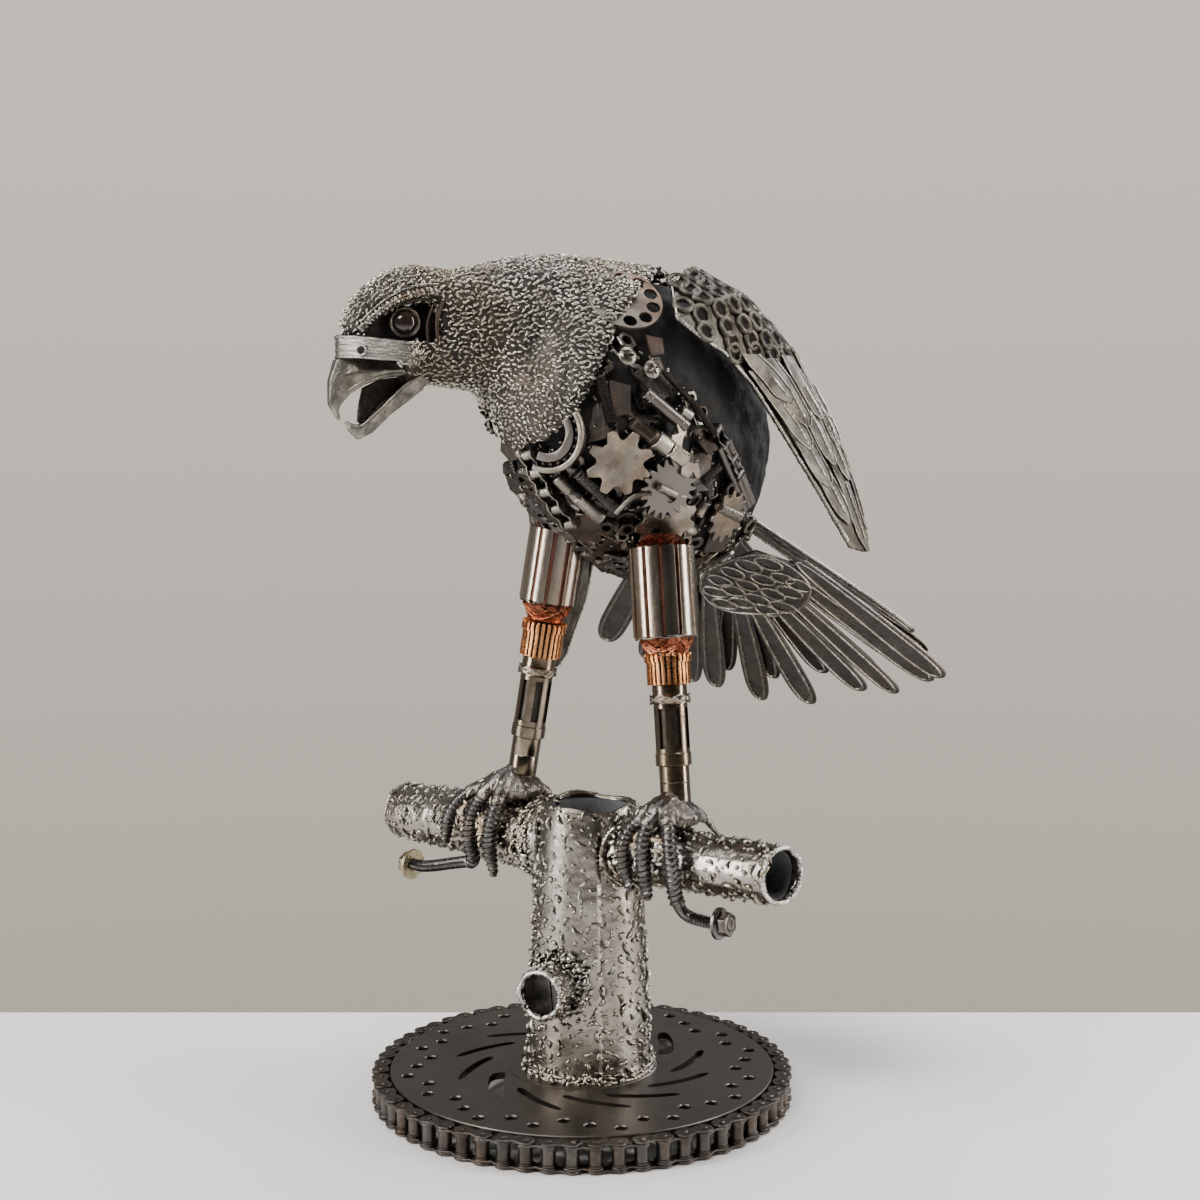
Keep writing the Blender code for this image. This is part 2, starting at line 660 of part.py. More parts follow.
RIGHT_WING = (
    ((-0.0540, 0.0360, 0.5930), (-0.0520, 0.0620, 0.6055), (-0.0400, 0.0860, 0.6050)),
    ((-0.0820, 0.0100, 0.5600), (-0.0810, 0.0780, 0.5850), (-0.0620, 0.1180, 0.5800)),
    ((-0.0900, 0.0300, 0.5200), (-0.0950, 0.1000, 0.5350), (-0.0790, 0.1400, 0.5300)),
    ((-0.0980, 0.0500, 0.4700), (-0.1050, 0.1100, 0.4800), (-0.0910, 0.1500, 0.4750)),
    ((-0.1050, 0.0720, 0.4150), (-0.1130, 0.1180, 0.4200), (-0.1000, 0.1500, 0.4150)),
    ((-0.1110, 0.0900, 0.3600), (-0.1180, 0.1190, 0.3600), (-0.1090, 0.1420, 0.3550)),
    ((-0.1150, 0.1030, 0.3120), (-0.1200, 0.1150, 0.3050), (-0.1160, 0.1250, 0.3100)),
    ((-0.1190, 0.1110, 0.2990), (-0.1210, 0.1150, 0.2975), (-0.1195, 0.1190, 0.2990)),
)


def wing(name, stations, out_sign):
    columns = 5
    grid = []
    for lead, ridge, trail in stations:
        lead, ridge, trail = (Vector(p) + RIDE for p in (lead, ridge, trail))
        row = []
        for c in range(columns):
            s = c / (columns - 1)
            a = (1 - s) * (1 - 2 * s)
            b = 4 * s * (1 - s)
            d = s * (2 * s - 1)
            row.append(lead * a + ridge * b + trail * d)
        grid.append(row)
    rows = len(grid)
    for r in range(rows):
        for c in range(columns):
            if c == columns - 1 and 1 <= r < rows - 1 and r % 2 == 0:
                grid[r][c] = grid[r][c].lerp(grid[r][c - 1], 0.35)
    skin = []
    for r in range(rows):
        line = []
        for c in range(columns):
            along = grid[min(r + 1, rows - 1)][c] - grid[max(r - 1, 0)][c]
            across = grid[r][min(c + 1, columns - 1)] - grid[r][max(c - 1, 0)]
            n = along.cross(across).normalized()
            if n.x * out_sign < 0:
                n = -n
            line.append(n)
        skin.append(line)
    verts = [p for row in grid for p in row]
    verts += [grid[r][c] - skin[r][c] * WING_THICK for r in range(rows) for c in range(columns)]
    half = rows * columns
    faces = []
    for r in range(rows - 1):
        for c in range(columns - 1):
            q = (r * columns + c, r * columns + c + 1, (r + 1) * columns + c + 1, (r + 1) * columns + c)
            faces.append(q)
            faces.append(tuple(half + i for i in q[::-1]))
    edge = [c for c in range(columns)]
    edge += [r * columns + columns - 1 for r in range(1, rows)]
    edge += [(rows - 1) * columns + c for c in range(columns - 2, -1, -1)]
    edge += [r * columns for r in range(rows - 2, 0, -1)]
    for i, a in enumerate(edge):
        b = edge[(i + 1) % len(edge)]
        faces.append((a, b, half + b, half + a))
    return body(name, verts, faces)


wing_left = wing("wing_left", LEFT_WING, 1)
wing_right = wing("wing_right", RIGHT_WING, -1)
for each in (wing_left, wing_right):
    clear_of(each, [torso, mantle])
    largest(each)

# %% [markdown]
# The tail: a flat fan of ten feathers seen from below, a scaled covert plate under its root,
# and a roof of four feathers above it.

# %%
FAN_ROOT = TORSO_REAR + Vector((-0.002, -0.05644, -0.02243))
FAN_DROOP = math.radians(40.5)
FAN_START_BACK = 0.034
# The outermost feather on the right is longer at its root and reaches the body.
LONG_START_BACK = 0.075
FEATHER_THICK = 0.0018
# Each feather in the plane of the fan: base across and back, tip across and back, half width.
FAN = (
    (-0.0850, 0.0700, -0.1740, 0.1640, 0.0130), (-0.0560, 0.0830, -0.1390, 0.1850, 0.0113),
    (-0.0400, 0.0900, -0.1080, 0.2200, 0.0115), (-0.0232, 0.0977, -0.0815, 0.2211, 0.0115),
    (0.0014, 0.1099, -0.0441, 0.2400, 0.0118), (0.0219, 0.1123, 0.0109, 0.2341, 0.0130),
    (0.0482, 0.1053, 0.0722, 0.2090, 0.0140), (0.0703, 0.0892, 0.1067, 0.2038, 0.0125),
    (0.0898, 0.0737, 0.1455, 0.1842, 0.0140), (0.1061, 0.0544, 0.1601, 0.1737, 0.0140),
)
fan_back = Vector((0, math.cos(FAN_DROOP), -math.sin(FAN_DROOP)))
fan_normal = Vector((0, math.sin(FAN_DROOP), math.cos(FAN_DROOP)))


def feather_outline(length, half):
    return ((0, -half * 0.5), (length * 0.35, -half * 0.85), (length * 0.78, -half), (length * 0.93, -half * 0.8),
            (length, -half * 0.28), (length, half * 0.28), (length * 0.93, half * 0.8), (length * 0.78, half),
            (length * 0.35, half * 0.85), (0, half * 0.5))


def feather(name, base, tip, normal, half, thick):
    base, tip = Vector(base), Vector(tip)
    return plate(name, feather_outline((tip - base).length, half), base, normal, tip - base, thick)


for i, (x0, b0, x1, b1, half) in enumerate(FAN):
    level = FAN_ROOT + fan_normal * (0.0013 if i % 2 == 0 else -0.0013)
    base = level + Vector((x0, 0, 0)) + fan_back * b0
    tip = level + Vector((x1, 0, 0)) + fan_back * b1
    base -= (tip - base).normalized() * (LONG_START_BACK if i == 0 else FAN_START_BACK)
    each = feather(f"tail_feather_{i + 1:02d}", base, tip, fan_normal, half, FEATHER_THICK)
    clear_of(each, [torso])
    largest(each)

COVERTS = ((0.009, 0.037), (-0.009, 0.054), (-0.018, 0.076), (-0.012, 0.091), (0.004, 0.098), (0.043, 0.095),
           (0.067, 0.088), (0.084, 0.073), (0.097, 0.052), (0.087, 0.024), (0.064, 0.012))
coverts = plate("tail_coverts", [(y, x) for x, y in COVERTS], FAN_ROOT - fan_normal * 0.0040, -fan_normal,
                fan_back, 0.0026)
clear_of(coverts, [torso])
largest(coverts)

ROOF_ROOT = TORSO_REAR + Vector((-0.002, -0.04744, 0.01657))
ROOF_DROOP = math.radians(22.5)
ROOF_ROLL = math.radians(28)
ROOF_TWIST = math.radians(14)
for i, (turn, end, rise) in enumerate(((-37, 0.205, 0.0), (-14, 0.190, 0.0035), (14, 0.190, 0.0), (37, 0.213, 0.0035))):
    a = math.radians(turn)
    sign = math.copysign(1, turn)
    ridge = Vector((0, math.cos(ROOF_DROOP), -math.sin(ROOF_DROOP)))
    across = Vector((sign * math.cos(ROOF_ROLL), 0, -math.sin(ROOF_ROLL)))
    normal = ridge.cross(across) * -sign
    if normal.z < 0:
        normal = -normal
    direction = ridge * math.cos(a) + across * abs(math.sin(a))
    outer = direction.cross(normal) * sign
    normal = normal * math.cos(ROOF_TWIST) - outer * math.sin(ROOF_TWIST)
    root = ROOF_ROOT + normal * rise
    each = feather(f"tail_roof_{i + 1}", root + direction * 0.050, root + direction * end, normal, 0.0125, 0.0022)
    clear_of(each, [torso])
    largest(each)

# %% [markdown]
# Legs: motor armatures for thighs, their commutators below, then two lengths of shank.

# %%
LEGS = {
    "left": {"hip": (0.0585, 0.0170, 0.4165), "ankle": (0.0815, 0.0050, 0.2290),
             "marks": (0.3440, 0.4075, 0.3325, 0.3105, 0.2535)},
    "right": {"hip": (-0.0345, 0.0170, 0.4200), "ankle": (-0.0621, 0.0050, 0.2325),
              "marks": (0.3640, 0.4185, 0.3490, 0.3225, 0.2610)},
}
CORE_RADIUS, CORE_SLOT, BORE = 0.0235, 0.0180, 0.0090
SLOTS = 12


def on_axis(leg, h):
    hip, ankle = Vector(leg["hip"]), Vector(leg["ankle"])
    return ankle + (hip - ankle) * (h - ankle.z) / (hip.z - ankle.z) + RIDE


for name, leg in LEGS.items():
    core_low, core_high, com_high, com_low, knee = leg["marks"]
    axis = (Vector(leg["hip"]) - Vector(leg["ankle"])).normalized()
    u, v, w = frame_for(axis, Vector((0, 1, 0)))
    wide = CORE_RADIUS if name == "left" else CORE_RADIUS - 0.0015
    ring_shape = []
    for k in range(SLOTS):
        for part, radius in ((0.0, CORE_SLOT), (0.22, wide), (0.78, wide)):
            a = TAU * (k + part) / SLOTS
            ring_shape.append((math.cos(a) * radius, math.sin(a) * radius))
    p0, p1 = on_axis(leg, core_low), on_axis(leg, core_high)
    outside = [[p + u * x + v * y for x, y in ring_shape] for p in (p0, p1)]
    core = loft(f"armature_{name}", outside)
    cut(core, loft("bore", [circle(p, u, v, BORE + 0.0004, 10) for p in (p0 - w * 0.01, p1 + w * 0.01)]))

    bottom = on_axis(leg, com_high) + w * 0.0004
    low_face, high_face = p0 - w * GAP, p1 + w * GAP
    drop = (low_face - bottom).length
    shape = [(bottom, 0.0120), (bottom + w * drop * 0.45, 0.0175), (low_face, 0.0185), (low_face, BORE),
             (high_face, BORE), (high_face, 0.0170), (high_face + w * 0.006, 0.0150), (high_face + w * 0.010, 0.0090)]
    winding = loft(f"winding_{name}", [circle(p, u, v, r, 10) for p, r in shape])
    clear_of(winding, [torso])
    largest(winding)
    clear_of(core, [torso])
    largest(core)

    q0, q1 = on_axis(leg, com_low), on_axis(leg, com_high)
    height = (q1 - q0).length
    loft(f"commutator_{name}", [circle(q0 + w * height * s, u, v, r, 12) for s, r in
                                ((0, 0.0150), (0.62, 0.0155), (0.68, 0.0168), (1.0, 0.0162))])
    top = q0 - w * GAP
    foot = on_axis(leg, knee) + w * GAP
    length = (top - foot).length
    loft(f"shank_upper_{name}", [circle(foot + w * length * s, u, v, r, 12) for s, r in
                                 ((0, 0.0125), (0.78, 0.0125), (0.84, 0.0140), (0.91, 0.0122), (1.0, 0.0122))])
    end = on_axis(leg, knee)
    ankle = on_axis(leg, leg["ankle"][2])
    loft(f"shank_lower_{name}", [circle(p, u, v, 0.0108, 10) for p in (ankle, end)])

# %% [markdown]
# Feet: a blob of weld at each ankle, three coiled toes over the front of the perch,
# one of them a bent bolt with a flanged head, and a thin toe behind.

# %%
FEET = {
    "left": {
        "hub": ((0.0815, -0.0010, 0.2195), (0.0230, 0.0205, 0.0112)),
        "toes": (
            ((0.0715, -0.0165, 0.2205), (0.0615, -0.0235, 0.2115), (0.0572, -0.0280, 0.1920), (0.0625, -0.0225, 0.1660)),
            ((0.0800, -0.0195, 0.2215), (0.0765, -0.0255, 0.2120), (0.0758, -0.0285, 0.1930), (0.0772, -0.0220, 0.1620)),
            ((0.0915, -0.0170, 0.2225), (0.0960, -0.0240, 0.2140), (0.1010, -0.0282, 0.1920), (0.1012, -0.0235, 0.1680),
             (0.1055, -0.0190, 0.1545), (0.1240, -0.0150, 0.1520), (0.1320, -0.0145, 0.1525)),
        ),
        "behind": ((0.0940, 0.0100, 0.2210), (0.1005, 0.0175, 0.2145), (0.1055, 0.0240, 0.2030)),
    },
    "right": {
        "hub": ((-0.0640, -0.0010, 0.2220), (0.0240, 0.0205, 0.0112)),
        "toes": (
            ((-0.0820, -0.0150, 0.2225), (-0.0965, -0.0225, 0.2160), (-0.1075, -0.0290, 0.2010), (-0.1125, -0.0265, 0.1760)),
            ((-0.0735, -0.0200, 0.2220), (-0.0825, -0.0265, 0.2090), (-0.0875, -0.0295, 0.1870), (-0.0845, -0.0240, 0.1665),
             (-0.1020, -0.0200, 0.1625), (-0.1430, -0.0180, 0.1520), (-0.1550, -0.0178, 0.1525)),
            ((-0.0600, -0.0205, 0.2225), (-0.0605, -0.0275, 0.2100), (-0.0668, -0.0300, 0.1880), (-0.0635, -0.0255, 0.1580)),
        ),
        "behind": ((-0.0530, 0.0140, 0.2215), (-0.0480, 0.0240, 0.2130), (-0.0470, 0.0285, 0.2020)),
    },
}
TOE_RADIUS = 0.0039
BOLT_RADIUS = 0.0041

for name, foot in FEET.items():
    perch = perch_left if name == "left" else perch_right
    centre, size = Vector(foot["hub"][0]) + RIDE, foot["hub"][1]
    ring_list = []
    for s, r in ((-0.92, 0.45), (-0.45, 0.9), (0.1, 1.0), (0.62, 0.78), (0.97, 0.5)):
        ring_list.append([centre + Vector((math.cos(TAU * k / 10) * size[0] * r,
                                           math.sin(TAU * k / 10) * size[1] * r, size[2] * s)) for k in range(10)])
    hub = loft(f"foot_hub_{name}", ring_list)
    shank = bpy.data.objects[f"shank_lower_{name}"]
    hind = tube("hind", [Vector(p) + RIDE for p in foot["behind"]], (0.0032, 0.0028, 0.0018), 6)
    cut(hub, hind, "UNION")
    cut(hub, trunk_fill, keep=True)
    clear_of(hub, [perch, shank], 0.0004)
    largest(hub)
    for n, drawn in enumerate(foot["toes"]):
        path = [Vector(p) + RIDE for p in drawn]
        radii = [TOE_RADIUS] * len(path)
        if len(path) == 4:
            radii[-1] = 0.0028
        else:
            radii[4:] = [BOLT_RADIUS] * (len(path) - 4)
        toe = tube(f"toe_{name}_{n + 1}", path, radii, 6)
        if len(path) > 4:
            out = (Vector(path[-1]) - Vector(path[-2])).normalized()
            tip = Vector(path[-1])
            flange = 0.0092 if name == "left" else 0.0108
            head_piece = turned("bolt_head", tip - out * 0.0005, out,
                                ((0.0, flange), (0.0022, flange - 0.0006), (0.0023, 0.0070), (0.0088, 0.0066)), 6)
            cut(toe, head_piece, "UNION")
        clear_of(toe, [hub, perch, shank], 0.0004)
        largest(toe)

# %% [markdown]
# Scrap welded onto the body's left side: bearing ring, sprockets, drilled plate, pin and rod.

# %%
def seat(point, lift):
    p = on_skin(Vector(point) + RIDE, 0.0)
    d = p - TORSO_CENTRE
    n = Vector((0, 0, 0))
    for axis, size in ((TORSO_AHEAD, TORSO_LONG), (TORSO_SIDE, TORSO_WIDE), (TORSO_UP, TORSO_DEEP)):
        c = d.dot(axis)
        n += axis * math.copysign(abs(c / size) ** (TORSO_POWER - 1) / size, c)
    n.normalize()
    return p + n * lift, n


def gear_outline(radius, depth, teeth, start=0.0, sweep=TAU, inner=None):
    out = []
    whole = sweep >= TAU - 1e-6
    count = teeth * 2 + (0 if whole else 1)
    for i in range(count):
        a = start + sweep * i / (teeth * 2)
        r = radius if i % 2 == 0 else radius - depth
        out.append((r * math.cos(a), r * math.sin(a)))
    if inner:
        for i in range(teeth, -1, -1):
            a = start + sweep * i / teeth
            out.append((inner * math.cos(a), inner * math.sin(a)))
    return out


def placed_outline(outline, turn):
    c, s = math.cos(turn), math.sin(turn)
    return [(x * c - y * s, x * s + y * c) for x, y in outline]


SCRAP = (
    ("bearing_ring", (0.018, -0.058, 0.490), 0.0034, gear_outline(0.0290, 0.0002, 5, -0.9, 2.7, 0.0235), 4.1, 0.0040),
    ("sprocket_worn", (0.054, -0.027, 0.469), 0.0044, gear_outline(0.0235, 0.0045, 8), 0.0, 0.0026),
    ("sprocket_toothed", (0.067, 0.008, 0.452), 0.0072, gear_outline(0.0215, 0.0040, 9), 0.2, 0.0024),
    ("sprocket_bright", (0.076, 0.022, 0.481), 0.0056, gear_outline(0.0230, 0.0030, 8, -1.3, 2.6, 0.0130), 2.6, 0.0024),
    ("sprocket_low", (0.058, 0.020, 0.428), 0.0048, gear_outline(0.0240, 0.0040, 8), 0.1, 0.0024),
    ("sprocket_rear", (0.071, 0.076, 0.430), 0.0048, gear_outline(0.0195, 0.0035, 9), 0.0, 0.0024),
    ("drilled_plate", (0.050, 0.010, 0.583), 0.0088, gear_outline(0.0265, 0.0004, 6), 0.0, 0.0022),
)
RODS = (
    ("pin_roller", (0.064, -0.017, 0.5150), (0.0755, 0.0130, 0.4930), 0.0048, 0.0044, 8),
    ("spark_plug", (0.064, -0.018, 0.4940), (0.0730, 0.0100, 0.4730), 0.0062, 0.0060, 8),
)
made = []
near_parts = [torso, mantle, wing_left]
near_parts += [bpy.data.objects[f"{part}_left"] for part in ("armature", "winding")]
for name, point, lift, outline, turn, thick in SCRAP:
    spot, n = seat(point, lift)
    each = plate(name, placed_outline(outline, turn), spot, n, TORSO_AHEAD, thick)
    clear_of(each, near_parts + made)
    largest(each)
    made.append(each)
for name, start, end, radius, lift, sides in RODS:
    p, n = seat(start, lift + radius)
    q, m = seat(end, lift + radius)
    each = tube(name, (p, q), (radius, radius), sides)
    clear_of(each, near_parts + made)
    largest(each)
    made.append(each)

# %% [markdown]
# Finishes: bare welded steel for most of the work, darker scrap, oiled chain, copper in the motor
# armatures and polished stones for eyes. Then everything is lowered so that the origin lies at
# the centre of the disc's underside.

# %%
FINISHES = {
    "weld_skin": ((0.50, 0.47, 0.43), 1.0, 0.36),
    "wing_steel": ((0.46, 0.44, 0.41), 1.0, 0.38),
    "tail_steel": ((0.25, 0.23, 0.26), 1.0, 0.42),
    "dark_scrap": ((0.16, 0.13, 0.11), 0.9, 0.48),
    "pipe_steel": ((0.44, 0.41, 0.37), 1.0, 0.38),
    "disc_steel": ((0.22, 0.19, 0.17), 1.0, 0.40),
    "oiled_chain": ((0.15, 0.12, 0.11), 0.9, 0.45),
    "shank_steel": ((0.34, 0.28, 0.22), 1.0, 0.30),
    "laminations": ((0.42, 0.36, 0.32), 1.0, 0.34),
    "copper": ((0.62, 0.28, 0.16), 1.0, 0.36),
    "eye_stone": ((0.06, 0.03, 0.02), 0.0, 0.10),
}
FINISH_OF = {
    "chain_ring": "oiled_chain", "brake_disc": "disc_steel", "trunk": "pipe_steel", "perch": "pipe_steel",
    "knot_stub": "pipe_steel", "head_and_mantle": "weld_skin", "wing": "wing_steel", "tail": "tail_steel",
    "armature": "laminations", "winding": "copper", "commutator": "copper", "shank": "shank_steel",
    "foot_hub": "weld_skin", "toe": "weld_skin", "eye": "eye_stone", "nose_band": "weld_skin",
    "upper_beak": "weld_skin", "lower_beak": "weld_skin", "mouth_plate": "dark_scrap",
}
SHARP_ANGLE = math.radians(38)

for finish, (colour, metallic, roughness) in FINISHES.items():
    material = bpy.data.materials.new(finish)
    material.use_nodes = True
    shader = material.node_tree.nodes["Principled BSDF"]
    shader.inputs["Base Color"].default_value = (*colour, 1.0)
    shader.inputs["Metallic"].default_value = metallic
    shader.inputs["Roughness"].default_value = roughness

bpy.data.objects.remove(trunk_fill, do_unlink=True)
for obj in bpy.context.scene.objects:
    finish = next((kind for start, kind in FINISH_OF.items() if obj.name.startswith(start)), "dark_scrap")
    obj.data.materials.clear()
    obj.data.materials.append(bpy.data.materials[finish])
    obj.data.shade_smooth()
    obj.data.set_sharp_from_angle(angle=SHARP_ANGLE)
    obj.data.transform(Matrix.Translation((0, 0, -DISC_UNDERSIDE)))
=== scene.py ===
# %% [markdown]
# A scrap metal eagle, dressed for its picture.
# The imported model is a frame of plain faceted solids. This lesson keeps that frame where it is and gives
# each part the surface that a welder's hands left on it: beads, threads, teeth, chain and copper.

# %% Load the frame
import math

import bmesh
import bpy
import numpy as np
from mathutils import Matrix, Vector, noise
from mathutils.bvhtree import BVHTree


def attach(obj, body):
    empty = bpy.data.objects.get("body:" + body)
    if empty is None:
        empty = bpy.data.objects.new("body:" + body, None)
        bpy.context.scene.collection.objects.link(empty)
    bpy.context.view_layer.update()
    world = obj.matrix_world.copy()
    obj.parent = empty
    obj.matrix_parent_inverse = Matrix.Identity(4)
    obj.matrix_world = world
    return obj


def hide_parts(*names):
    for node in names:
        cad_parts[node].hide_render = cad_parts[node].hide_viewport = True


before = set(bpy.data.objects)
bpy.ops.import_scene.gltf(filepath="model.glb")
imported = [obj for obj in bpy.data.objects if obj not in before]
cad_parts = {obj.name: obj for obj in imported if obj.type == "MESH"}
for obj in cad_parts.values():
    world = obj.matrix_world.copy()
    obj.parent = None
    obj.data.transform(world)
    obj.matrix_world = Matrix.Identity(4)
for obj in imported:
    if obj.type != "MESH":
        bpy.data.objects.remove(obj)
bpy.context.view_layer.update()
TAU = 2 * math.pi
FLOOR = -0.0165
X, Y, UP = Vector((1, 0, 0)), Vector((0, 1, 0)), Vector((0, 0, 1))
SEED = 11
chance = np.random.default_rng(SEED)
print("nodes in the frame:", len(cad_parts))

# %% [markdown]
# Pieces are made in a bmesh and then hung on the frame. One helper does the hanging: it gives the mesh
# its material, shades it smooth up to an angle, and hides the solids that the new piece stands for.

# %% Hang a finished mesh on the frame
def hang(bm, name, material, stands_for=(), smooth=40, closed=True, place=None):
    if place is not None:
        bm.transform(place)
    if closed:
        bmesh.ops.recalc_face_normals(bm, faces=bm.faces)
    mesh = bpy.data.meshes.new(name)
    bm.to_mesh(mesh)
    bm.free()
    return hang_mesh(mesh, name, material, stands_for, smooth)


def hang_mesh(mesh, name, material, stands_for=(), smooth=40):
    mesh.materials.clear()
    mesh.materials.append(material)
    mesh.shade_smooth()
    if smooth < 180:
        mesh.set_sharp_from_angle(angle=math.radians(smooth))
    piece = bpy.data.objects.new(name, mesh)
    bpy.context.scene.collection.objects.link(piece)
    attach(piece, "root")
    if stands_for:
        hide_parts(*stands_for)
    return piece


# %% Take a solid from the frame as a clean bmesh
def solid(node):
    bm = bmesh.new()
    bm.from_mesh(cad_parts[node].data)
    bmesh.ops.remove_doubles(bm, verts=bm.verts, dist=1e-5)
    return bm


def modified(bm, *steps):
    mesh = bpy.data.meshes.new("work")
    bm.to_mesh(mesh)
    bm.free()
    work = bpy.data.objects.new("work", mesh)
    bpy.context.scene.collection.objects.link(work)
    for kind, values in steps:
        step = work.modifiers.new(kind.lower(), kind)
        for key, value in values.items():
            setattr(step, key, value)
    depsgraph = bpy.context.evaluated_depsgraph_get()
    result = bpy.data.meshes.new_from_object(work.evaluated_get(depsgraph))
    bpy.data.objects.remove(work, do_unlink=True)
    out = bmesh.new()
    out.from_mesh(result)
    return out


def skin(node, voxel, rounds):
    steps = [("REMESH", {"mode": "VOXEL", "voxel_size": voxel})]
    steps.append(("SMOOTH", {"factor": 0.5, "iterations": rounds}))
    return modified(solid(node), *steps)


# %% Frames along a direction
def axes_for(direction, up=UP):
    w = Vector(direction).normalized()
    if abs(w.dot(up)) > 0.98:
        up = Vector((0, 1, 0.1))
    u = up.cross(w).normalized()
    return u, w.cross(u), w


def stand(origin, direction, up=UP, turn=0.0):
    u, v, w = axes_for(direction, up)
    place = Matrix((u, v, w)).transposed().to_4x4()
    place.translation = Vector(origin)
    return place @ Matrix.Rotation(turn, 4, "Z")


# %% [markdown]
# Weld beads, rivets, links and rollers come in hundreds. Each is modelled once with an operator and then
# repeated by placing its points many times over in one mesh, which is quick and keeps the piece whole.

# %% Repeat one small shape many times
def repeated(template, turns, origins):
    mesh = bpy.data.meshes.new("template")
    template.to_mesh(mesh)
    template.free()
    points = np.empty(len(mesh.vertices) * 3)
    mesh.vertices.foreach_get("co", points)
    points = points.reshape(-1, 3)
    corners = np.empty(len(mesh.loops), np.int32)
    mesh.loops.foreach_get("vertex_index", corners)
    starts = np.empty(len(mesh.polygons), np.int32)
    mesh.polygons.foreach_get("loop_start", starts)
    count = len(origins)
    placed = np.einsum("mij,nj->mni", turns, points) + origins[:, None, :]
    out = bpy.data.meshes.new("repeated")
    out.vertices.add(count * len(points))
    out.vertices.foreach_set("co", placed.reshape(-1))
    out.loops.add(count * len(corners))
    shift = (np.arange(count) * len(points))[:, None]
    out.loops.foreach_set("vertex_index", (corners[None, :] + shift).reshape(-1).astype(np.int32))
    out.polygons.add(count * len(starts))
    shift = (np.arange(count) * len(corners))[:, None]
    out.polygons.foreach_set("loop_start", (starts[None, :] + shift).reshape(-1).astype(np.int32))
    # The height attribute runs from 0 at a bead's foot to 1 at its top; metals with hollow shade paint shade
    # on the low part.
    low, high = points[:, 2].min(), points[:, 2].max()
    height = np.tile((points[:, 2] - low) / max(high - low, 1e-9), count)
    out.attributes.new("height", "FLOAT", "POINT").data.foreach_set("value", height.astype(np.float32))
    out.update(calc_edges=True)
    out.validate()
    bpy.data.meshes.remove(mesh)
    return out


def at_places(template, places):
    turns = np.array([np.array(p.to_3x3()) for p in places])
    origins = np.array([p.translation for p in places])
    return repeated(template, turns, origins)


def into(bm, mesh):
    bm.from_mesh(mesh)
    bpy.data.meshes.remove(mesh)
    return bm


def add(bm, shape, place):
    shape.transform(place)
    mesh = bpy.data.meshes.new("part")
    shape.to_mesh(mesh)
    shape.free()
    return into(bm, mesh)


# %% Spread points over a skin, no closer than a spacing
def spread(bm, spacing, keep=None, tries=7):
    bmesh.ops.triangulate(bm, faces=bm.faces)
    bm.normal_update()
    bm.verts.ensure_lookup_table()
    co = np.array([v.co for v in bm.verts])
    normals = np.array([v.normal for v in bm.verts])
    tri = np.array([[v.index for v in f.verts] for f in bm.faces])
    a, b, c = co[tri[:, 0]], co[tri[:, 1]], co[tri[:, 2]]
    area = np.linalg.norm(np.cross(b - a, c - a), axis=1) / 2
    total = int(area.sum() / spacing ** 2 * tries)
    pick = chance.choice(len(tri), total, p=area / area.sum())
    r1, r2 = chance.random(total) ** 0.5, chance.random(total)
    w = np.stack([1 - r1, r1 * (1 - r2), r1 * r2], 1)
    points = (co[tri[pick]] * w[:, :, None]).sum(1)
    facing = (normals[tri[pick]] * w[:, :, None]).sum(1)
    facing /= np.linalg.norm(facing, axis=1)[:, None]
    if keep is not None:
        chosen = keep(points, facing)
        points, facing = points[chosen], facing[chosen]
    cells = {}
    kept = []
    keys = np.floor(points / spacing).astype(int)
    for i, (p, key) in enumerate(zip(points, keys)):
        near = [q for dx in (-1, 0, 1) for dy in (-1, 0, 1) for dz in (-1, 0, 1)
                for q in cells.get((key[0] + dx, key[1] + dy, key[2] + dz), ())]
        if all(((p - q) ** 2).sum() > spacing ** 2 for q in near):
            cells.setdefault(tuple(key), []).append(p)
            kept.append(i)
    return points[kept], facing[kept]


# %% Weld beads: half-sunk drops, long in the direction the torch went
BEAD_SIDES = 6
WELD_RUNS = (0.3, 0.2, -1.0)


def drop(rings=4, bend=0.0):
    bm = bmesh.new()
    bmesh.ops.create_uvsphere(bm, u_segments=rings + 2, v_segments=BEAD_SIDES, radius=1.0)
    bmesh.ops.rotate(bm, verts=bm.verts, matrix=Matrix.Rotation(math.pi / 2, 3, "Y"))
    for v in bm.verts:
        v.co.y += bend * (v.co.x ** 2 - 0.35)
        v.co.z -= abs(bend) * 0.30 * v.co.x ** 2
    return bm


def beads(points, facing, flow, length, width, rise, wander=0.35, sink=0.25, bend=0.0):
    count = len(points)
    length, width, rise = (np.broadcast_to(value, (count,)) for value in (length, width, rise))
    along = flow - facing * (flow * facing).sum(1)[:, None]
    along /= np.linalg.norm(along, axis=1)[:, None] + 1e-9
    side = np.cross(facing, along)
    angle = (chance.normal(0, wander, count) + math.pi * chance.integers(0, 2, count))[:, None]
    x = along * np.cos(angle) + side * np.sin(angle)
    y = np.cross(facing, x)
    size = chance.uniform(0.7, 1.3, count)
    turns = np.stack([x * (length * size)[:, None], y * (width * chance.uniform(0.75, 1.25, count))[:, None],
                      facing * (rise * size)[:, None]], 2)
    return repeated(drop(bend=bend), turns, points - facing * (rise * sink)[:, None])


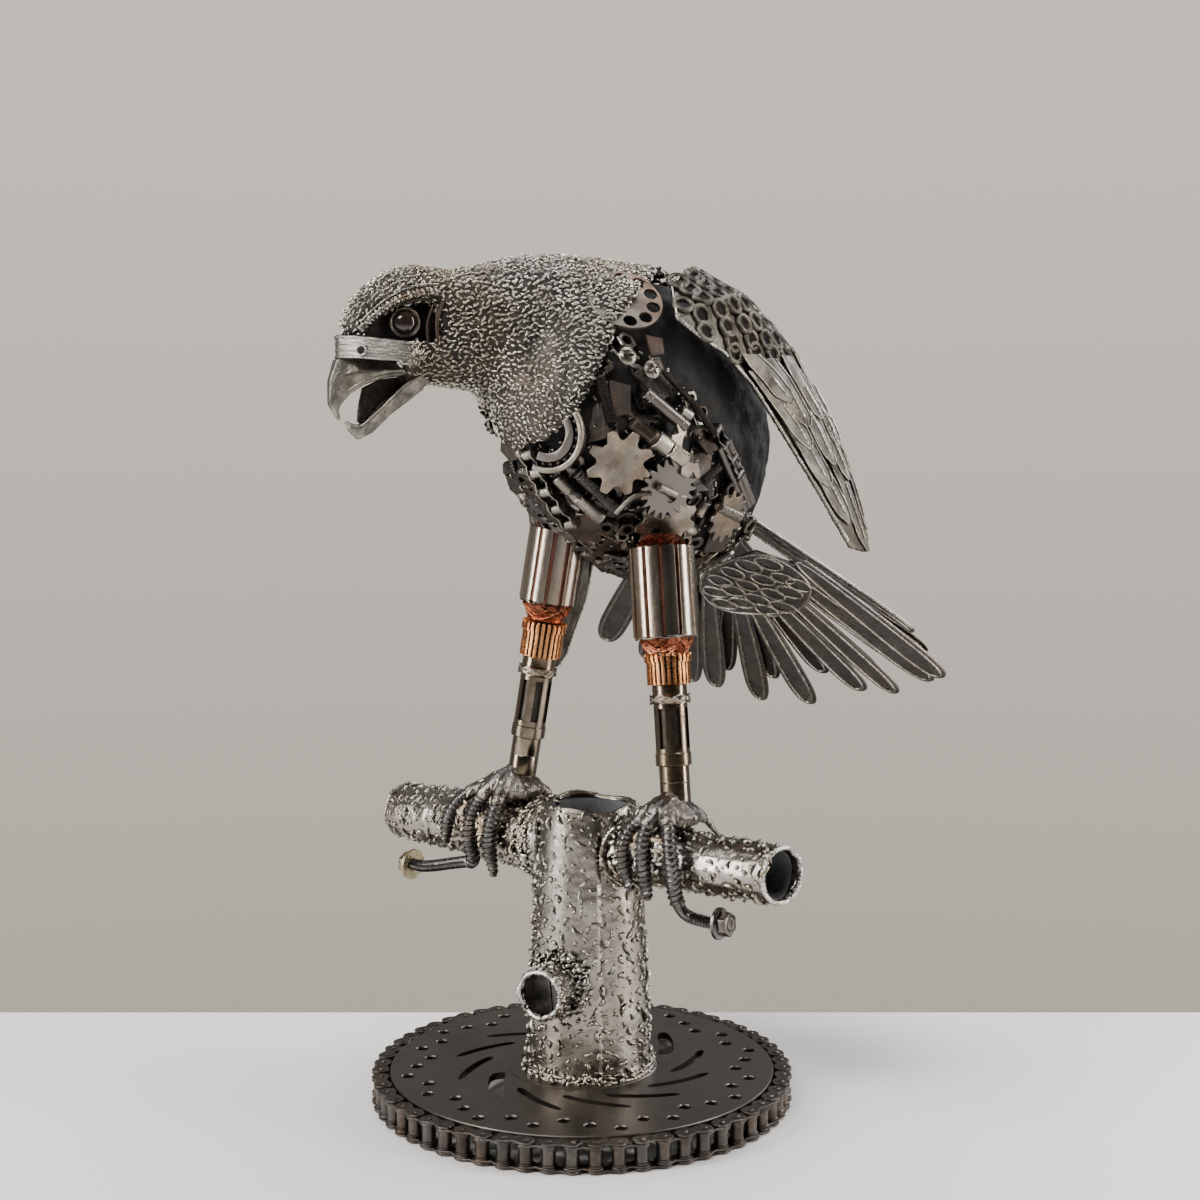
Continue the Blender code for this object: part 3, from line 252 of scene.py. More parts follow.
# %% A seam of weld along a line, as a tube whose radius swells and pinches
def tube_mesh(points, radii, sides=6, cyclic=False):
    curve = bpy.data.curves.new("line", "CURVE")
    curve.dimensions = "3D"
    curve.bevel_depth = 1.0
    curve.bevel_resolution = max(sides // 2 - 2, 0) if sides > 4 else 0
    curve.use_fill_caps = True
    line = curve.splines.new("POLY")
    line.points.add(len(points) - 1)
    for spot, p, r in zip(line.points, points, radii):
        spot.co = (*p, 1.0)
        spot.radius = r
    line.use_cyclic_u = cyclic
    holder = bpy.data.objects.new("line", curve)
    bpy.context.scene.collection.objects.link(holder)
    depsgraph = bpy.context.evaluated_depsgraph_get()
    mesh = bpy.data.meshes.new_from_object(holder.evaluated_get(depsgraph))
    bpy.data.objects.remove(holder, do_unlink=True)
    bpy.data.curves.remove(curve)
    ring = len(mesh.vertices) // len(points)
    # Thinner parts of a seam get a lower height value, so metals with hollow shade paint shade into the
    # pinches.
    low, high = min(radii), max(radii)
    swell = [(r - low) / max(high - low, 1e-9) * 0.5 + 0.5 for r in radii]
    heights = np.ones(len(mesh.vertices), np.float32)
    heights[:ring * len(points)] = np.repeat(swell, ring)
    mesh.attributes.new("height", "FLOAT", "POINT").data.foreach_set("value", heights)
    return mesh


def tube(bm, line, radius, sides=8, cyclic=False):
    return into(bm, tube_mesh(line, [radius] * len(line), sides, cyclic))


def resampled(points, step, cyclic=False):
    points = [Vector(p) for p in points]
    if cyclic:
        points.append(points[0])
    lengths = [(q - p).length for p, q in zip(points, points[1:])]
    total = sum(lengths)
    count = max(int(round(total / step)), 2)
    out = []
    travelled, k = 0.0, 0
    for i in range(count + (0 if cyclic else 1)):
        target = total * i / count
        while k < len(lengths) - 1 and travelled + lengths[k] < target:
            travelled += lengths[k]
            k += 1
        out.append(points[k].lerp(points[k + 1], min((target - travelled) / max(lengths[k], 1e-9), 1.0)))
    return out


def rounded(points, rounds=2, cyclic=False):
    points = [Vector(p) for p in points]
    for _ in range(rounds):
        pairs = list(zip(points, points[1:] + points[:1])) if cyclic else list(zip(points, points[1:]))
        new = [q for p, n in pairs for q in (p.lerp(n, 0.25), p.lerp(n, 0.75))]
        points = new if cyclic else [points[0]] + new[1:-1] + [points[-1]]
    return points


def weld_line(bm, points, radius, pitch=0.0016, cyclic=False, sides=6):
    line = resampled(points, pitch / 2, cyclic)
    radii = [radius * (1.0 if i % 2 else 0.68) * (0.85 + 0.35 * noise.noise(p * 260))
             for i, p in enumerate(line)]
    return into(bm, tube_mesh(line, radii, sides, cyclic))


def thread(bm, points, radius, pitch=0.0011, depth=0.16, sides=10):
    line = resampled(points, pitch / 2)
    radii = [radius * (1.0 if i % 2 else 1.0 - depth) for i in range(len(line))]
    return into(bm, tube_mesh(line, radii, sides))


# %% [markdown]
# Steel that has been welded isn't one colour. Heat leaves straw and violet tints, and oil and smoke leave
# dark patches. Two shader node groups hold those effects for every metal: one mixes the colours in patches,
# the other gives the fine grain that catches the light. Some metals also darken towards the smoke colour low
# on beads, in the pinches of seams and inside bores, partly smoke and partly painted shade, while the tops
# stay light.

# %% Shader node groups shared by every metal
def socket(tree, name, kind, in_out, value=None):
    made = tree.interface.new_socket(name=name, in_out=in_out, socket_type=kind)
    if value is not None:
        made.default_value = value


def node(tree, kind, values=(), **inputs):
    made = tree.nodes.new(kind)
    for key, value in values:
        setattr(made, key, value)
    for key, value in inputs.items():
        made.inputs[key.replace("_", " ")].default_value = value
    return made


def connect(tree, *links):
    for source, output, target, entry in links:
        tree.links.new(source.outputs[output], target.inputs[entry])


def patch_group():
    tree = bpy.data.node_groups.new("heat_and_smoke", "ShaderNodeTree")
    for name, kind, value in (("Place", "NodeSocketVector", None),
                              ("Clean", "NodeSocketColor", (0.6, 0.6, 0.6, 1)),
                              ("Smoke", "NodeSocketColor", (0.1, 0.1, 0.1, 1)),
                              ("Tint", "NodeSocketColor", (0.6, 0.5, 0.3, 1)),
                              ("Patch", "NodeSocketFloat", 60.0), ("Amount", "NodeSocketFloat", 0.6),
                              ("Tinted", "NodeSocketFloat", 0.5), ("Smooth", "NodeSocketFloat", 0.25),
                              ("Rough", "NodeSocketFloat", 0.5)):
        socket(tree, name, kind, "INPUT", value)
    socket(tree, "Colour", "NodeSocketColor", "OUTPUT")
    socket(tree, "Roughness", "NodeSocketFloat", "OUTPUT")
    enter, leave = tree.nodes.new("NodeGroupInput"), tree.nodes.new("NodeGroupOutput")
    smoke = node(tree, "ShaderNodeTexNoise", Detail=6.0, Roughness=0.65)
    spots = node(tree, "ShaderNodeMapRange", From_Min=0.36, From_Max=0.66)
    heat = node(tree, "ShaderNodeTexNoise", Detail=2.0, Roughness=0.5)
    bands = node(tree, "ShaderNodeMapRange", From_Min=0.45, From_Max=0.62)
    slower = node(tree, "ShaderNodeMath", (("operation", "MULTIPLY"),))
    slower.inputs[1].default_value = 0.31
    first = node(tree, "ShaderNodeMix", (("data_type", "RGBA"),))
    second = node(tree, "ShaderNodeMix", (("data_type", "RGBA"),))
    less = node(tree, "ShaderNodeMath", (("operation", "MULTIPLY"),))
    tinted = node(tree, "ShaderNodeMath", (("operation", "MULTIPLY"),))
    rough = node(tree, "ShaderNodeMapRange")
    connect(tree, (enter, "Place", smoke, "Vector"), (enter, "Place", heat, "Vector"),
            (enter, "Patch", smoke, "Scale"), (enter, "Patch", slower, 0), (slower, 0, heat, "Scale"),
            (smoke, "Fac", spots, "Value"), (heat, "Fac", bands, "Value"), (bands, "Result", tinted, 0),
            (enter, "Tinted", tinted, 1), (tinted, 0, first, 0), (enter, "Clean", first, 6),
            (enter, "Tint", first, 7), (spots, "Result", less, 0), (enter, "Amount", less, 1),
            (less, 0, second, 0), (first, 2, second, 6), (enter, "Smoke", second, 7),
            (second, 2, leave, "Colour"), (spots, "Result", rough, "Value"),
            (enter, "Smooth", rough, "To Min"), (enter, "Rough", rough, "To Max"),
            (rough, "Result", leave, "Roughness"))
    return tree


def grain_group():
    tree = bpy.data.node_groups.new("fine_grain", "ShaderNodeTree")
    socket(tree, "Place", "NodeSocketVector", "INPUT")
    socket(tree, "Fine", "NodeSocketFloat", "INPUT", 700.0)
    socket(tree, "Height", "NodeSocketFloat", "OUTPUT")
    enter, leave = tree.nodes.new("NodeGroupInput"), tree.nodes.new("NodeGroupOutput")
    pits = node(tree, "ShaderNodeTexNoise", Detail=5.0, Roughness=0.7)
    connect(tree, (enter, "Place", pits, "Vector"), (enter, "Fine", pits, "Scale"),
            (pits, "Fac", leave, "Height"))
    return tree


HEAT_AND_SMOKE = patch_group()
FINE_GRAIN = grain_group()


# %% A metal from the two groups
def metal(name, clean, smoke, tint, smooth=0.25, rough=0.5, patch=60.0, amount=0.6, tinted=0.5, fine=700.0,
          relief=0.0003, metallic=1.0, stretch=(1, 1, 1), hollow_shade=0.0, coat=0.0):
    made = bpy.data.materials.new(name)
    made.use_nodes = True
    tree = made.node_tree
    shader = tree.nodes["Principled BSDF"]
    shader.inputs["Metallic"].default_value = metallic
    shader.inputs["Coat Weight"].default_value = coat
    place = tree.nodes.new("ShaderNodeTexCoord")
    mapped = tree.nodes.new("ShaderNodeMapping")
    mapped.inputs["Scale"].default_value = stretch
    colours = tree.nodes.new("ShaderNodeGroup")
    colours.node_tree = HEAT_AND_SMOKE
    for key, value in (("Clean", (*clean, 1)), ("Smoke", (*smoke, 1)), ("Tint", (*tint, 1)), ("Patch", patch),
                       ("Amount", amount), ("Tinted", tinted), ("Smooth", smooth), ("Rough", rough)):
        colours.inputs[key].default_value = value
    grain = tree.nodes.new("ShaderNodeGroup")
    grain.node_tree = FINE_GRAIN
    grain.inputs["Fine"].default_value = fine
    bump = node(tree, "ShaderNodeBump", Distance=relief, Strength=1.0)
    connect(tree, (place, "Object", mapped, "Vector"), (mapped, "Vector", colours, "Place"),
            (mapped, "Vector", grain, "Place"), (grain, "Height", bump, "Height"),
            (bump, "Normal", shader, "Normal"), (colours, "Roughness", shader, "Roughness"))
    # Painted shade: where the height attribute is low (a bead's foot, a seam's pinch, a bore's inside) the
    # colour is pulled towards the smoke colour.
    if hollow_shade > 0:
        height = node(tree, "ShaderNodeAttribute", (("attribute_name", "height"),))
        depth = node(tree, "ShaderNodeMapRange", From_Min=0.45, From_Max=0.85, To_Min=hollow_shade, To_Max=0.0)
        shade_mix = node(tree, "ShaderNodeMix", (("data_type", "RGBA"),))
        shade_mix.inputs[7].default_value = (*smoke, 1)
        connect(tree, (height, "Fac", depth, "Value"), (depth, "Result", shade_mix, 0),
                (colours, "Colour", shade_mix, 6), (shade_mix, 2, shader, "Base Color"))
    else:
        connect(tree, (colours, "Colour", shader, "Base Color"))
    return made


SILVER = (0.50, 0.47, 0.42)
STRAW = (0.52, 0.41, 0.26)
# This dark colour serves for random smoke patches and, in the welds with hollow shade, for painted shade low
# on beads and seams.
SOOT_AND_SHADE = (0.022, 0.019, 0.017)
weld_bright = metal("weld_bright", SILVER, SOOT_AND_SHADE, STRAW, 0.17, 0.38, 55, 0.5, 0.5, 900, 0.0002, hollow_shade=0.97)
breast_weld_shaded = metal("breast_weld_shaded", (0.40, 0.365, 0.335), SOOT_AND_SHADE, (0.36, 0.29, 0.23), 0.17, 0.38, 55, 0.6, 0.5,
                    900, 0.0002, hollow_shade=0.97)
edge_bright = metal("edge_bright", (0.78, 0.76, 0.73), (0.30, 0.28, 0.26), (0.70, 0.66, 0.60), 0.25, 0.5,
                    160, 0.5, 0.5)
hub_weld = metal("hub_weld", (0.27, 0.25, 0.235), SOOT_AND_SHADE, (0.30, 0.24, 0.18), 0.17, 0.36, 70, 0.75, 0.5, 500,
                 0.0005)
soot_and_gap_shade = metal("soot_and_gap_shade", (0.060, 0.054, 0.049), SOOT_AND_SHADE, (0.08, 0.06, 0.04), 0.35, 0.6, 90, 0.7, 0.5,
                   700, 0.0005)
wing_steel = metal("wing_steel", (0.155, 0.146, 0.130), (0.027, 0.024, 0.021), (0.17, 0.140, 0.102), 0.34,
                   0.52, 60, 0.8, 0.5, 500, 0.0004)
# The pipes' hollow shade darkens the inside of their bores: painted shade.
pipe_steel = metal("pipe_steel", (0.36, 0.335, 0.30), (0.13, 0.112, 0.097), (0.34, 0.28, 0.21), 0.17, 0.30,
                   30, 0.5, 0.5, 420, 0.0002, hollow_shade=0.30)
bore_shade_lining = metal("bore_shade_lining", (0.105, 0.115, 0.12), (0.035, 0.036, 0.038), (0.12, 0.11, 0.10), 0.55,
                    0.8, 60, 0.6, 0.4, 500, 0.0004, metallic=0.0)
bore_shade_steel = metal("bore_shade_steel", (0.10, 0.105, 0.11), (0.03, 0.03, 0.032), (0.12, 0.10, 0.08), 0.3, 0.55, 90)
tail_steel = metal("tail_steel", (0.20, 0.188, 0.183), (0.06, 0.054, 0.050), (0.27, 0.22, 0.18), 0.22, 0.44,
                   50, 0.6, 0.5, 600, 0.0004)
tail_bright = metal("tail_bright", (0.52, 0.49, 0.45), (0.06, 0.05, 0.045), STRAW, 0.18, 0.40, 70, 0.5, 0.4,
                    900)
scrap_dark = metal("scrap_dark", (0.075, 0.068, 0.063), (0.014, 0.012, 0.011), (0.12, 0.075, 0.045), 0.26,
                   0.55, 70, 0.6, 0.45, 500, 0.0006)
toe_steel = metal("toe_steel", (0.16, 0.155, 0.15), (0.022, 0.020, 0.020), (0.17, 0.13, 0.10), 0.18, 0.40,
                  120, 0.55, 0.4, 500, 0.0002)
scrap_black = metal("scrap_black", (0.022, 0.020, 0.019), (0.007, 0.007, 0.007), (0.04, 0.027, 0.02), 0.32,
                    0.6, 80, 0.6, 0.4, 300, 0.0012)
body_shadow_black = metal("body_shadow_black", (0.013, 0.012, 0.012), (0.005, 0.005, 0.005), (0.018, 0.014, 0.011), 0.7,
                   0.9, 80, 0.6, 0.4, 300, 0.0012, metallic=0.3)
scrap_steel = metal("scrap_steel", (0.30, 0.275, 0.24), (0.045, 0.038, 0.033), (0.28, 0.20, 0.125), 0.18,
                    0.42, 60, 0.6, 0.5, 500, 0.0003)
chain_steel = metal("chain_steel", (0.115, 0.103, 0.096), (0.024, 0.021, 0.019), (0.13, 0.088, 0.062), 0.24,
                    0.46, 80, 0.6, 0.5, 600, 0.0002)
disc_steel = metal("disc_steel", (0.135, 0.121, 0.113), (0.080, 0.070, 0.064), (0.145, 0.12, 0.10), 0.30,
                   0.42, 22, 0.5, 0.5, 500, 0.00008)
shank_steel = metal("shank_steel", (0.25, 0.205, 0.155), (0.040, 0.031, 0.025), (0.34, 0.235, 0.14), 0.14,
                    0.30, 50, 0.55, 0.6, 350, 0.0001)
lamination = metal("lamination", (0.50, 0.44, 0.38), (0.12, 0.08, 0.06), (0.50, 0.34, 0.23), 0.12, 0.30, 50,
                   0.5, 0.55, 900, 0.0001, stretch=(1, 1, 0.2))
copper = metal("copper", (0.50, 0.17, 0.09), (0.10, 0.032, 0.022), (0.62, 0.29, 0.15), 0.20, 0.44, 200, 0.6,
               0.5)
copper_dark = metal("copper_dark", (0.24, 0.075, 0.045), (0.03, 0.015, 0.012), (0.40, 0.16, 0.09), 0.2,
                    0.45, 200, 0.7)
copper_bar = metal("copper_bar", (0.76, 0.33, 0.13), (0.20, 0.065, 0.03), (0.84, 0.46, 0.20), 0.18, 0.36,
                   120, 0.5)
slot_red = metal("slot_red", (0.16, 0.055, 0.037), (0.05, 0.020, 0.015), (0.28, 0.11, 0.065), 0.35, 0.6,
                 140, 0.6, 0.6, 500, 0.0003, metallic=0.5)
beak_steel = metal("beak_steel", (0.30, 0.282, 0.25), (0.040, 0.037, 0.033), (0.32, 0.27, 0.20), 0.22, 0.48,
                   110, 0.8, 0.5, 260, 0.0006, stretch=(1, 1, 0.6))
band_steel = metal("band_steel", (0.46, 0.44, 0.405), (0.065, 0.058, 0.052), (0.42, 0.36, 0.28), 0.20, 0.42,
                   120, 0.65, 0.4, 260, 0.0005, stretch=(1, 1, 6))
zinc = metal("zinc", (0.42, 0.395, 0.355), (0.08, 0.07, 0.06), (0.42, 0.34, 0.21), 0.20, 0.42, 120, 0.55, 0.5)
zinc_yellow = metal("zinc_yellow", (0.36, 0.33, 0.235), (0.10, 0.085, 0.055), (0.50, 0.42, 0.24), 0.18,
                    0.38, 90, 0.5)
rust = metal("rust", (0.060, 0.046, 0.038), (0.022, 0.017, 0.014), (0.13, 0.062, 0.036), 0.4, 0.75, 110,
             0.6, 0.45, 500, 0.0004, metallic=0.4)
worn_plate = metal("worn_plate", (0.21, 0.192, 0.170), (0.10, 0.060, 0.040), (0.50, 0.41, 0.29), 0.24, 0.5,
                   75, 0.7, 0.75, 500, 0.0003, metallic=0.9)
drilled_steel = metal("drilled_steel", (0.15, 0.132, 0.115), (0.045, 0.036, 0.03), (0.27, 0.13, 0.075), 0.3,
                      0.55, 60, 0.6, 0.45)
crumb = metal("crumb", (0.55, 0.46, 0.35), (0.30, 0.16, 0.09), (0.60, 0.48, 0.34), 0.5, 0.8, 160, 0.6, 0.6,
              500, 0.0003, metallic=0.1)
eye_stone = metal("eye_stone", (0.050, 0.036, 0.030), (0.012, 0.009, 0.008), (0.085, 0.055, 0.040), 0.08,
                  0.16, 120, 0.5, 0.5, 400, 0.00002, metallic=0.5, coat=0.6)

# %% [markdown]
# Head, neck and breast are one skin of weld. The solid from the frame is remeshed into an even net and
# smoothed, then thousands of small drops are laid over it in the direction in which feathers would lie,
# which is away from the beak.

# %% The base skin of head and mantle
MANTLE_VOXEL = 0.0017
BEAK_ROOT = Vector((-0.105, -0.135, 0.535))
TORSO_CENTRE = Vector((0.002, 0.0675, 0.4755))
under_tree = BVHTree.FromBMesh(solid("torso"))
mantle = skin("head_and_mantle", MANTLE_VOXEL, 7)
bmesh.ops.smooth_vert(mantle, verts=mantle.verts, factor=0.5, use_axis_x=True, use_axis_y=True,
                      use_axis_z=True)
mantle.normal_update()
for v in mantle.verts:
    v.co += v.normal * 0.0007 * noise.noise(v.co * 190)


def outside_body(points, facing):
    hits = [under_tree.ray_cast(Vector(p) + Vector(n) * 0.001, Vector(n), 0.02)[0] is None
            for p, n in zip(points, facing)]
    return np.array(hits)


HEAD_TURN = math.radians(32)
HEAD_AHEAD = Vector((-math.sin(HEAD_TURN), -math.cos(HEAD_TURN), 0))
HEAD_SIDE = Vector((math.cos(HEAD_TURN), -math.sin(HEAD_TURN), 0))
HEAD_FROM = Vector((0, 0.02, FLOOR))


def head(t, h, side=0.0):
    return HEAD_FROM + HEAD_AHEAD * t + HEAD_SIDE * side + UP * h


SOCKET_CENTRE = (0.148, 0.563)
SOCKET_REACH = (0.027, 0.0165)


def on_feathers(points, facing):
    d = points - np.array(HEAD_FROM)
    t = d @ np.array(HEAD_AHEAD)
    s = d @ np.array(HEAD_SIDE)
    h = d[:, 2]
    ahead, up = (t - SOCKET_CENTRE[0]) / SOCKET_REACH[0], (h - SOCKET_CENTRE[1]) / SOCKET_REACH[1]
    in_socket = ahead ** 2 + up ** 2 < 1
    sideways = np.abs(facing @ np.array(HEAD_SIDE)) > 0.35
    in_mouth = ((t > 0.146) & (h < 0.545) | (t > 0.137) & (h < 0.529)) & (np.abs(s) < 0.03)
    return outside_body(points, facing) & ~(in_socket & sideways & (t > 0.118)) & ~in_mouth


points, facing = spread(mantle, 0.0035, on_feathers)
flow = points - np.array(BEAK_ROOT) + np.array([0, 0, 0.02])
behind = np.clip((points[:, 1] + 0.10) / 0.12, 0.0, 1.0)
low = np.clip((0.50 - points[:, 2]) / 0.05, 0.0, 1.0)
length = 0.0026 + 0.0010 * behind - 0.0003 * low
width = 0.00100 + 0.00025 * behind
rise = 0.0019 + 0.0006 * behind - 0.0005 * low
# The lower, breast part of the mantle gets a darker copy of the weld metal: painted shade on the underside.
breast = (points[:, 2] + 0.35 * points[:, 1] < 0.452) & (points[:, 1] > -0.13)
for part, label, material in ((~breast, "mantle_beads", weld_bright), (breast, "breast_beads", breast_weld_shaded)):
    hang_mesh(beads(points[part], facing[part], flow[part], length[part], width[part], rise[part], 0.42,
                    bend=1.2), label, material, smooth=180)
between, between_faces = spread(mantle, 0.0032, on_feathers)
fine = chance.uniform(0.6, 1.3, len(between))
flow = between - np.array(BEAK_ROOT)
hang_mesh(beads(between, between_faces, flow, 0.0014 * fine, 0.0007 * fine, 0.0010 * fine, 0.9, bend=0.8),
          "mantle_fine_beads", weld_bright, smooth=180)
# The skin under the beads is near black: partly soot, partly painted shade in the gaps between beads.
hang(mantle, "mantle_skin", soot_and_gap_shade, ("head_and_mantle",), smooth=180)
print("beads on the mantle:", len(points))

# %% [markdown]
# Anything turned on a lathe, such as a roller, a rivet, an eye or a bolt's flange, is a profile spun round
# an axis. Anything cut from sheet, such as a chain plate or a sprocket, is one outline given a thickness
# and a small bevel, because real edges are never perfectly sharp.

# %% Lathe and sheet helpers
def lathe(profile, steps=24):
    bm = bmesh.new()
    spots = [bm.verts.new((r, 0, z)) for r, z in profile]
    edges = [bm.edges.new(pair) for pair in zip(spots, spots[1:])]
    bmesh.ops.spin(bm, geom=spots + edges, cent=(0, 0, 0), axis=(0, 0, 1), dvec=(0, 0, 0), angle=TAU,
                   steps=steps, use_merge=True, use_duplicate=False)
    bmesh.ops.remove_doubles(bm, verts=bm.verts, dist=1e-6)
    bmesh.ops.recalc_face_normals(bm, faces=bm.faces)
    return bm


def round_bar(radius, low, high, steps):
    return lathe(((0, low), (radius, low), (radius, high), (0, high)), steps)


def block(x, y, z):
    bm = bmesh.new()
    bmesh.ops.create_cube(bm, size=1.0)
    bmesh.ops.scale(bm, verts=bm.verts, vec=(x, y, z))
    return bm


def soften(bm, edges, offset, segments=1, clamp=False):
    bmesh.ops.bevel(bm, geom=edges, offset=offset, offset_type="OFFSET", segments=segments, profile=0.5,
                    affect="EDGES", material=-1, clamp_overlap=clamp)


def sheet(outline, thick, bevel=0.0, segments=1):
    bm = bmesh.new()
    face = bm.faces.new([bm.verts.new((x, y, -thick / 2)) for x, y in outline])
    grown = bmesh.ops.extrude_face_region(bm, geom=[face])
    top = [v for v in grown["geom"] if isinstance(v, bmesh.types.BMVert)]
    bmesh.ops.translate(bm, verts=top, vec=(0, 0, thick))
    bmesh.ops.recalc_face_normals(bm, faces=bm.faces)
    if bevel > 0:
        rims = [e for e in bm.edges if abs(e.verts[0].co.z - e.verts[1].co.z) < 1e-7]
        soften(bm, rims, bevel, segments, True)
    return bm


def joined(shapes):
    bm = bmesh.new()
    for shape, place in shapes:
        add(bm, shape, place)
    return bm


def cut_through(bm, cutter):
    mesh = bpy.data.meshes.new("cutter")
    cutter.to_mesh(mesh)
    cutter.free()
    tool = bpy.data.objects.new("cutter", mesh)
    bpy.context.scene.collection.objects.link(tool)
    out = modified(bm, ("BOOLEAN", {"operation": "DIFFERENCE", "solver": "EXACT", "object": tool}))
    bpy.data.objects.remove(tool, do_unlink=True)
    return out


def ring_place(angle, radius, z, spin=0.0):
    where = Vector((radius * math.cos(angle), radius * math.sin(angle), z))
    return Matrix.Translation(where) @ Matrix.Rotation(angle + spin, 4, "Z")


# %% [markdown]
# The base is a brake disc with a roller chain drawn round it: sixty links, each with a waisted plate above
# and one below, and a roller with two rivets at every pin. Outer plates ride above inner ones on every
# second link, which gives the ring its stepped look.

# %% The roller chain
LINKS = 60
PIN_RADIUS = 0.1491
PITCH = 2 * PIN_RADIUS * math.sin(math.pi / LINKS)
PLATE_END, PLATE_WAIST = 0.0066, 0.0037
PLATE = 0.0015


def chain_plate():
    outline = []
    for side in (1, -1):
        for k in range(9):
            a = math.radians(-100 + 25 * k)
            outline.append((side * (PITCH / 2 + PLATE_END * math.cos(a)), side * PLATE_END * math.sin(a)))
        outline.append((0, side * PLATE_WAIST))
    return sheet(outline, PLATE, 0.0003)


def chain():
    plates, rollers, rivets = [], [], []
    for k in range(LINKS):
        middle = TAU * (k + 0.5) / LINKS
        pin = TAU * k / LINKS
        outer = k % 2 == 0
        reach = PIN_RADIUS * math.cos(math.pi / LINKS)
        for z in ((0.0033, -0.0148) if outer else (0.0016, -0.0131)):
            plates.append(ring_place(middle, reach, z, math.pi / 2))
        rollers.append(ring_place(pin, PIN_RADIUS, -0.00575))
        below = ring_place(pin, PIN_RADIUS, -0.0155) @ Matrix.Rotation(math.pi, 4, "X")
        rivets += [ring_place(pin, PIN_RADIUS, 0.0040), below]
    roller = lathe(((0, -0.0066), (0.0056, -0.0066), (0.0056, -0.0054), (0.0049, -0.0050), (0.0049, 0.0048),
                    (0.0055, 0.0052), (0.0055, 0.0066), (0, 0.0066)), 14)
    rivet = lathe(((0, -0.0006), (0.0026, -0.0006), (0.0025, 0.0003), (0.0015, 0.0009), (0.0006, 0.0007),
                   (0, 0.0006)), 12)
    bm = bmesh.new()
    into(bm, at_places(chain_plate(), plates))
    into(bm, at_places(roller, rollers))
    into(bm, at_places(rivet, rivets))
    return hang(bm, "chain_links", chain_steel, ("chain_ring",), 35, closed=False)


chain()

# %% The brake disc
DISC_TOP = 0.0050
DISC_RIM = PIN_RADIUS - 0.0066 - 0.0005
HOLE_RADII = (0.1141, 0.1221, 0.1295, 0.1182, 0.1259)
FIRST_HOLE = math.radians(32.4)
HOLE_RADIUS = 0.0043
SLOT_ENDS = (142, 172, 202, 232, 262, 292, 318, 347, 17, 48, 78, 110)
WIDE_SLOTS = (232, 48)
SLOT_SWEEP = math.radians(33)


def slot_outline(end):
    wide = end in WIDE_SLOTS
    a1 = math.radians(end + 38)
    r0, r1 = (0.064, 0.0905) if wide else (0.069, 0.0945)
    half = 0.0066 if wide else 0.0036
    sides = ([], [])
    for k in range(13):
        s = (1 - math.cos(math.pi * k / 12)) / 2
        a = a1 - SLOT_SWEEP * (1 - s)
        r = r0 + (r1 - r0) * s ** 1.2
        swell = (1 - (2 * s - 1) ** 8) ** 0.5 if 0 < k < 12 else 0.12
        for side, out in zip((1, -1), sides):
            d = r + side * half * swell
            out.append((d * math.cos(a), d * math.sin(a)))
    return sides[0] + sides[1][::-1]


def disc():
    plate = lathe(((0, 0), (DISC_RIM - 0.0006, 0), (DISC_RIM, 0.0006), (DISC_RIM, DISC_TOP - 0.0006),
                   (DISC_RIM - 0.0006, DISC_TOP), (0.0560, DISC_TOP), (0.0552, DISC_TOP + 0.0006),
                   (0, DISC_TOP + 0.0006)), 120)
    holes = []
    for n in range(40):
        a = FIRST_HOLE + math.radians(9) * n
        hole = lathe(((0, -0.001), (HOLE_RADIUS, -0.001), (HOLE_RADIUS, DISC_TOP - 0.0008),
                      (HOLE_RADIUS + 0.0010, DISC_TOP + 0.0003), (HOLE_RADIUS + 0.0010, DISC_TOP + 0.002),
                      (0, DISC_TOP + 0.002)), 16)
        holes.append((hole, ring_place(a, HOLE_RADII[n % 5], 0)))
    for end in SLOT_ENDS:
        holes.append((sheet(slot_outline(end), 0.012), Matrix.Translation((0, 0, DISC_TOP / 2))))
    bm = cut_through(plate, joined(holes))
    return hang(bm, "drilled_disc", disc_steel, ("brake_disc",), 18)


disc()

# %% [markdown]
# The perch is pipe, dressed all over with dribbles and spatter of weld so that it reads as bark. The
# pipes come from the frame, remeshed and slightly lumpy, and every open end gets a ragged bright lip.

# %% Trunk, branches and knot
TRUNK_X, TRUNK_Y = 0.0038, 0.0035
PERCH_Z = 0.187 + FLOOR
TRUNK_AXIS = np.array([TRUNK_X, TRUNK_Y])
LIP = 0.0017


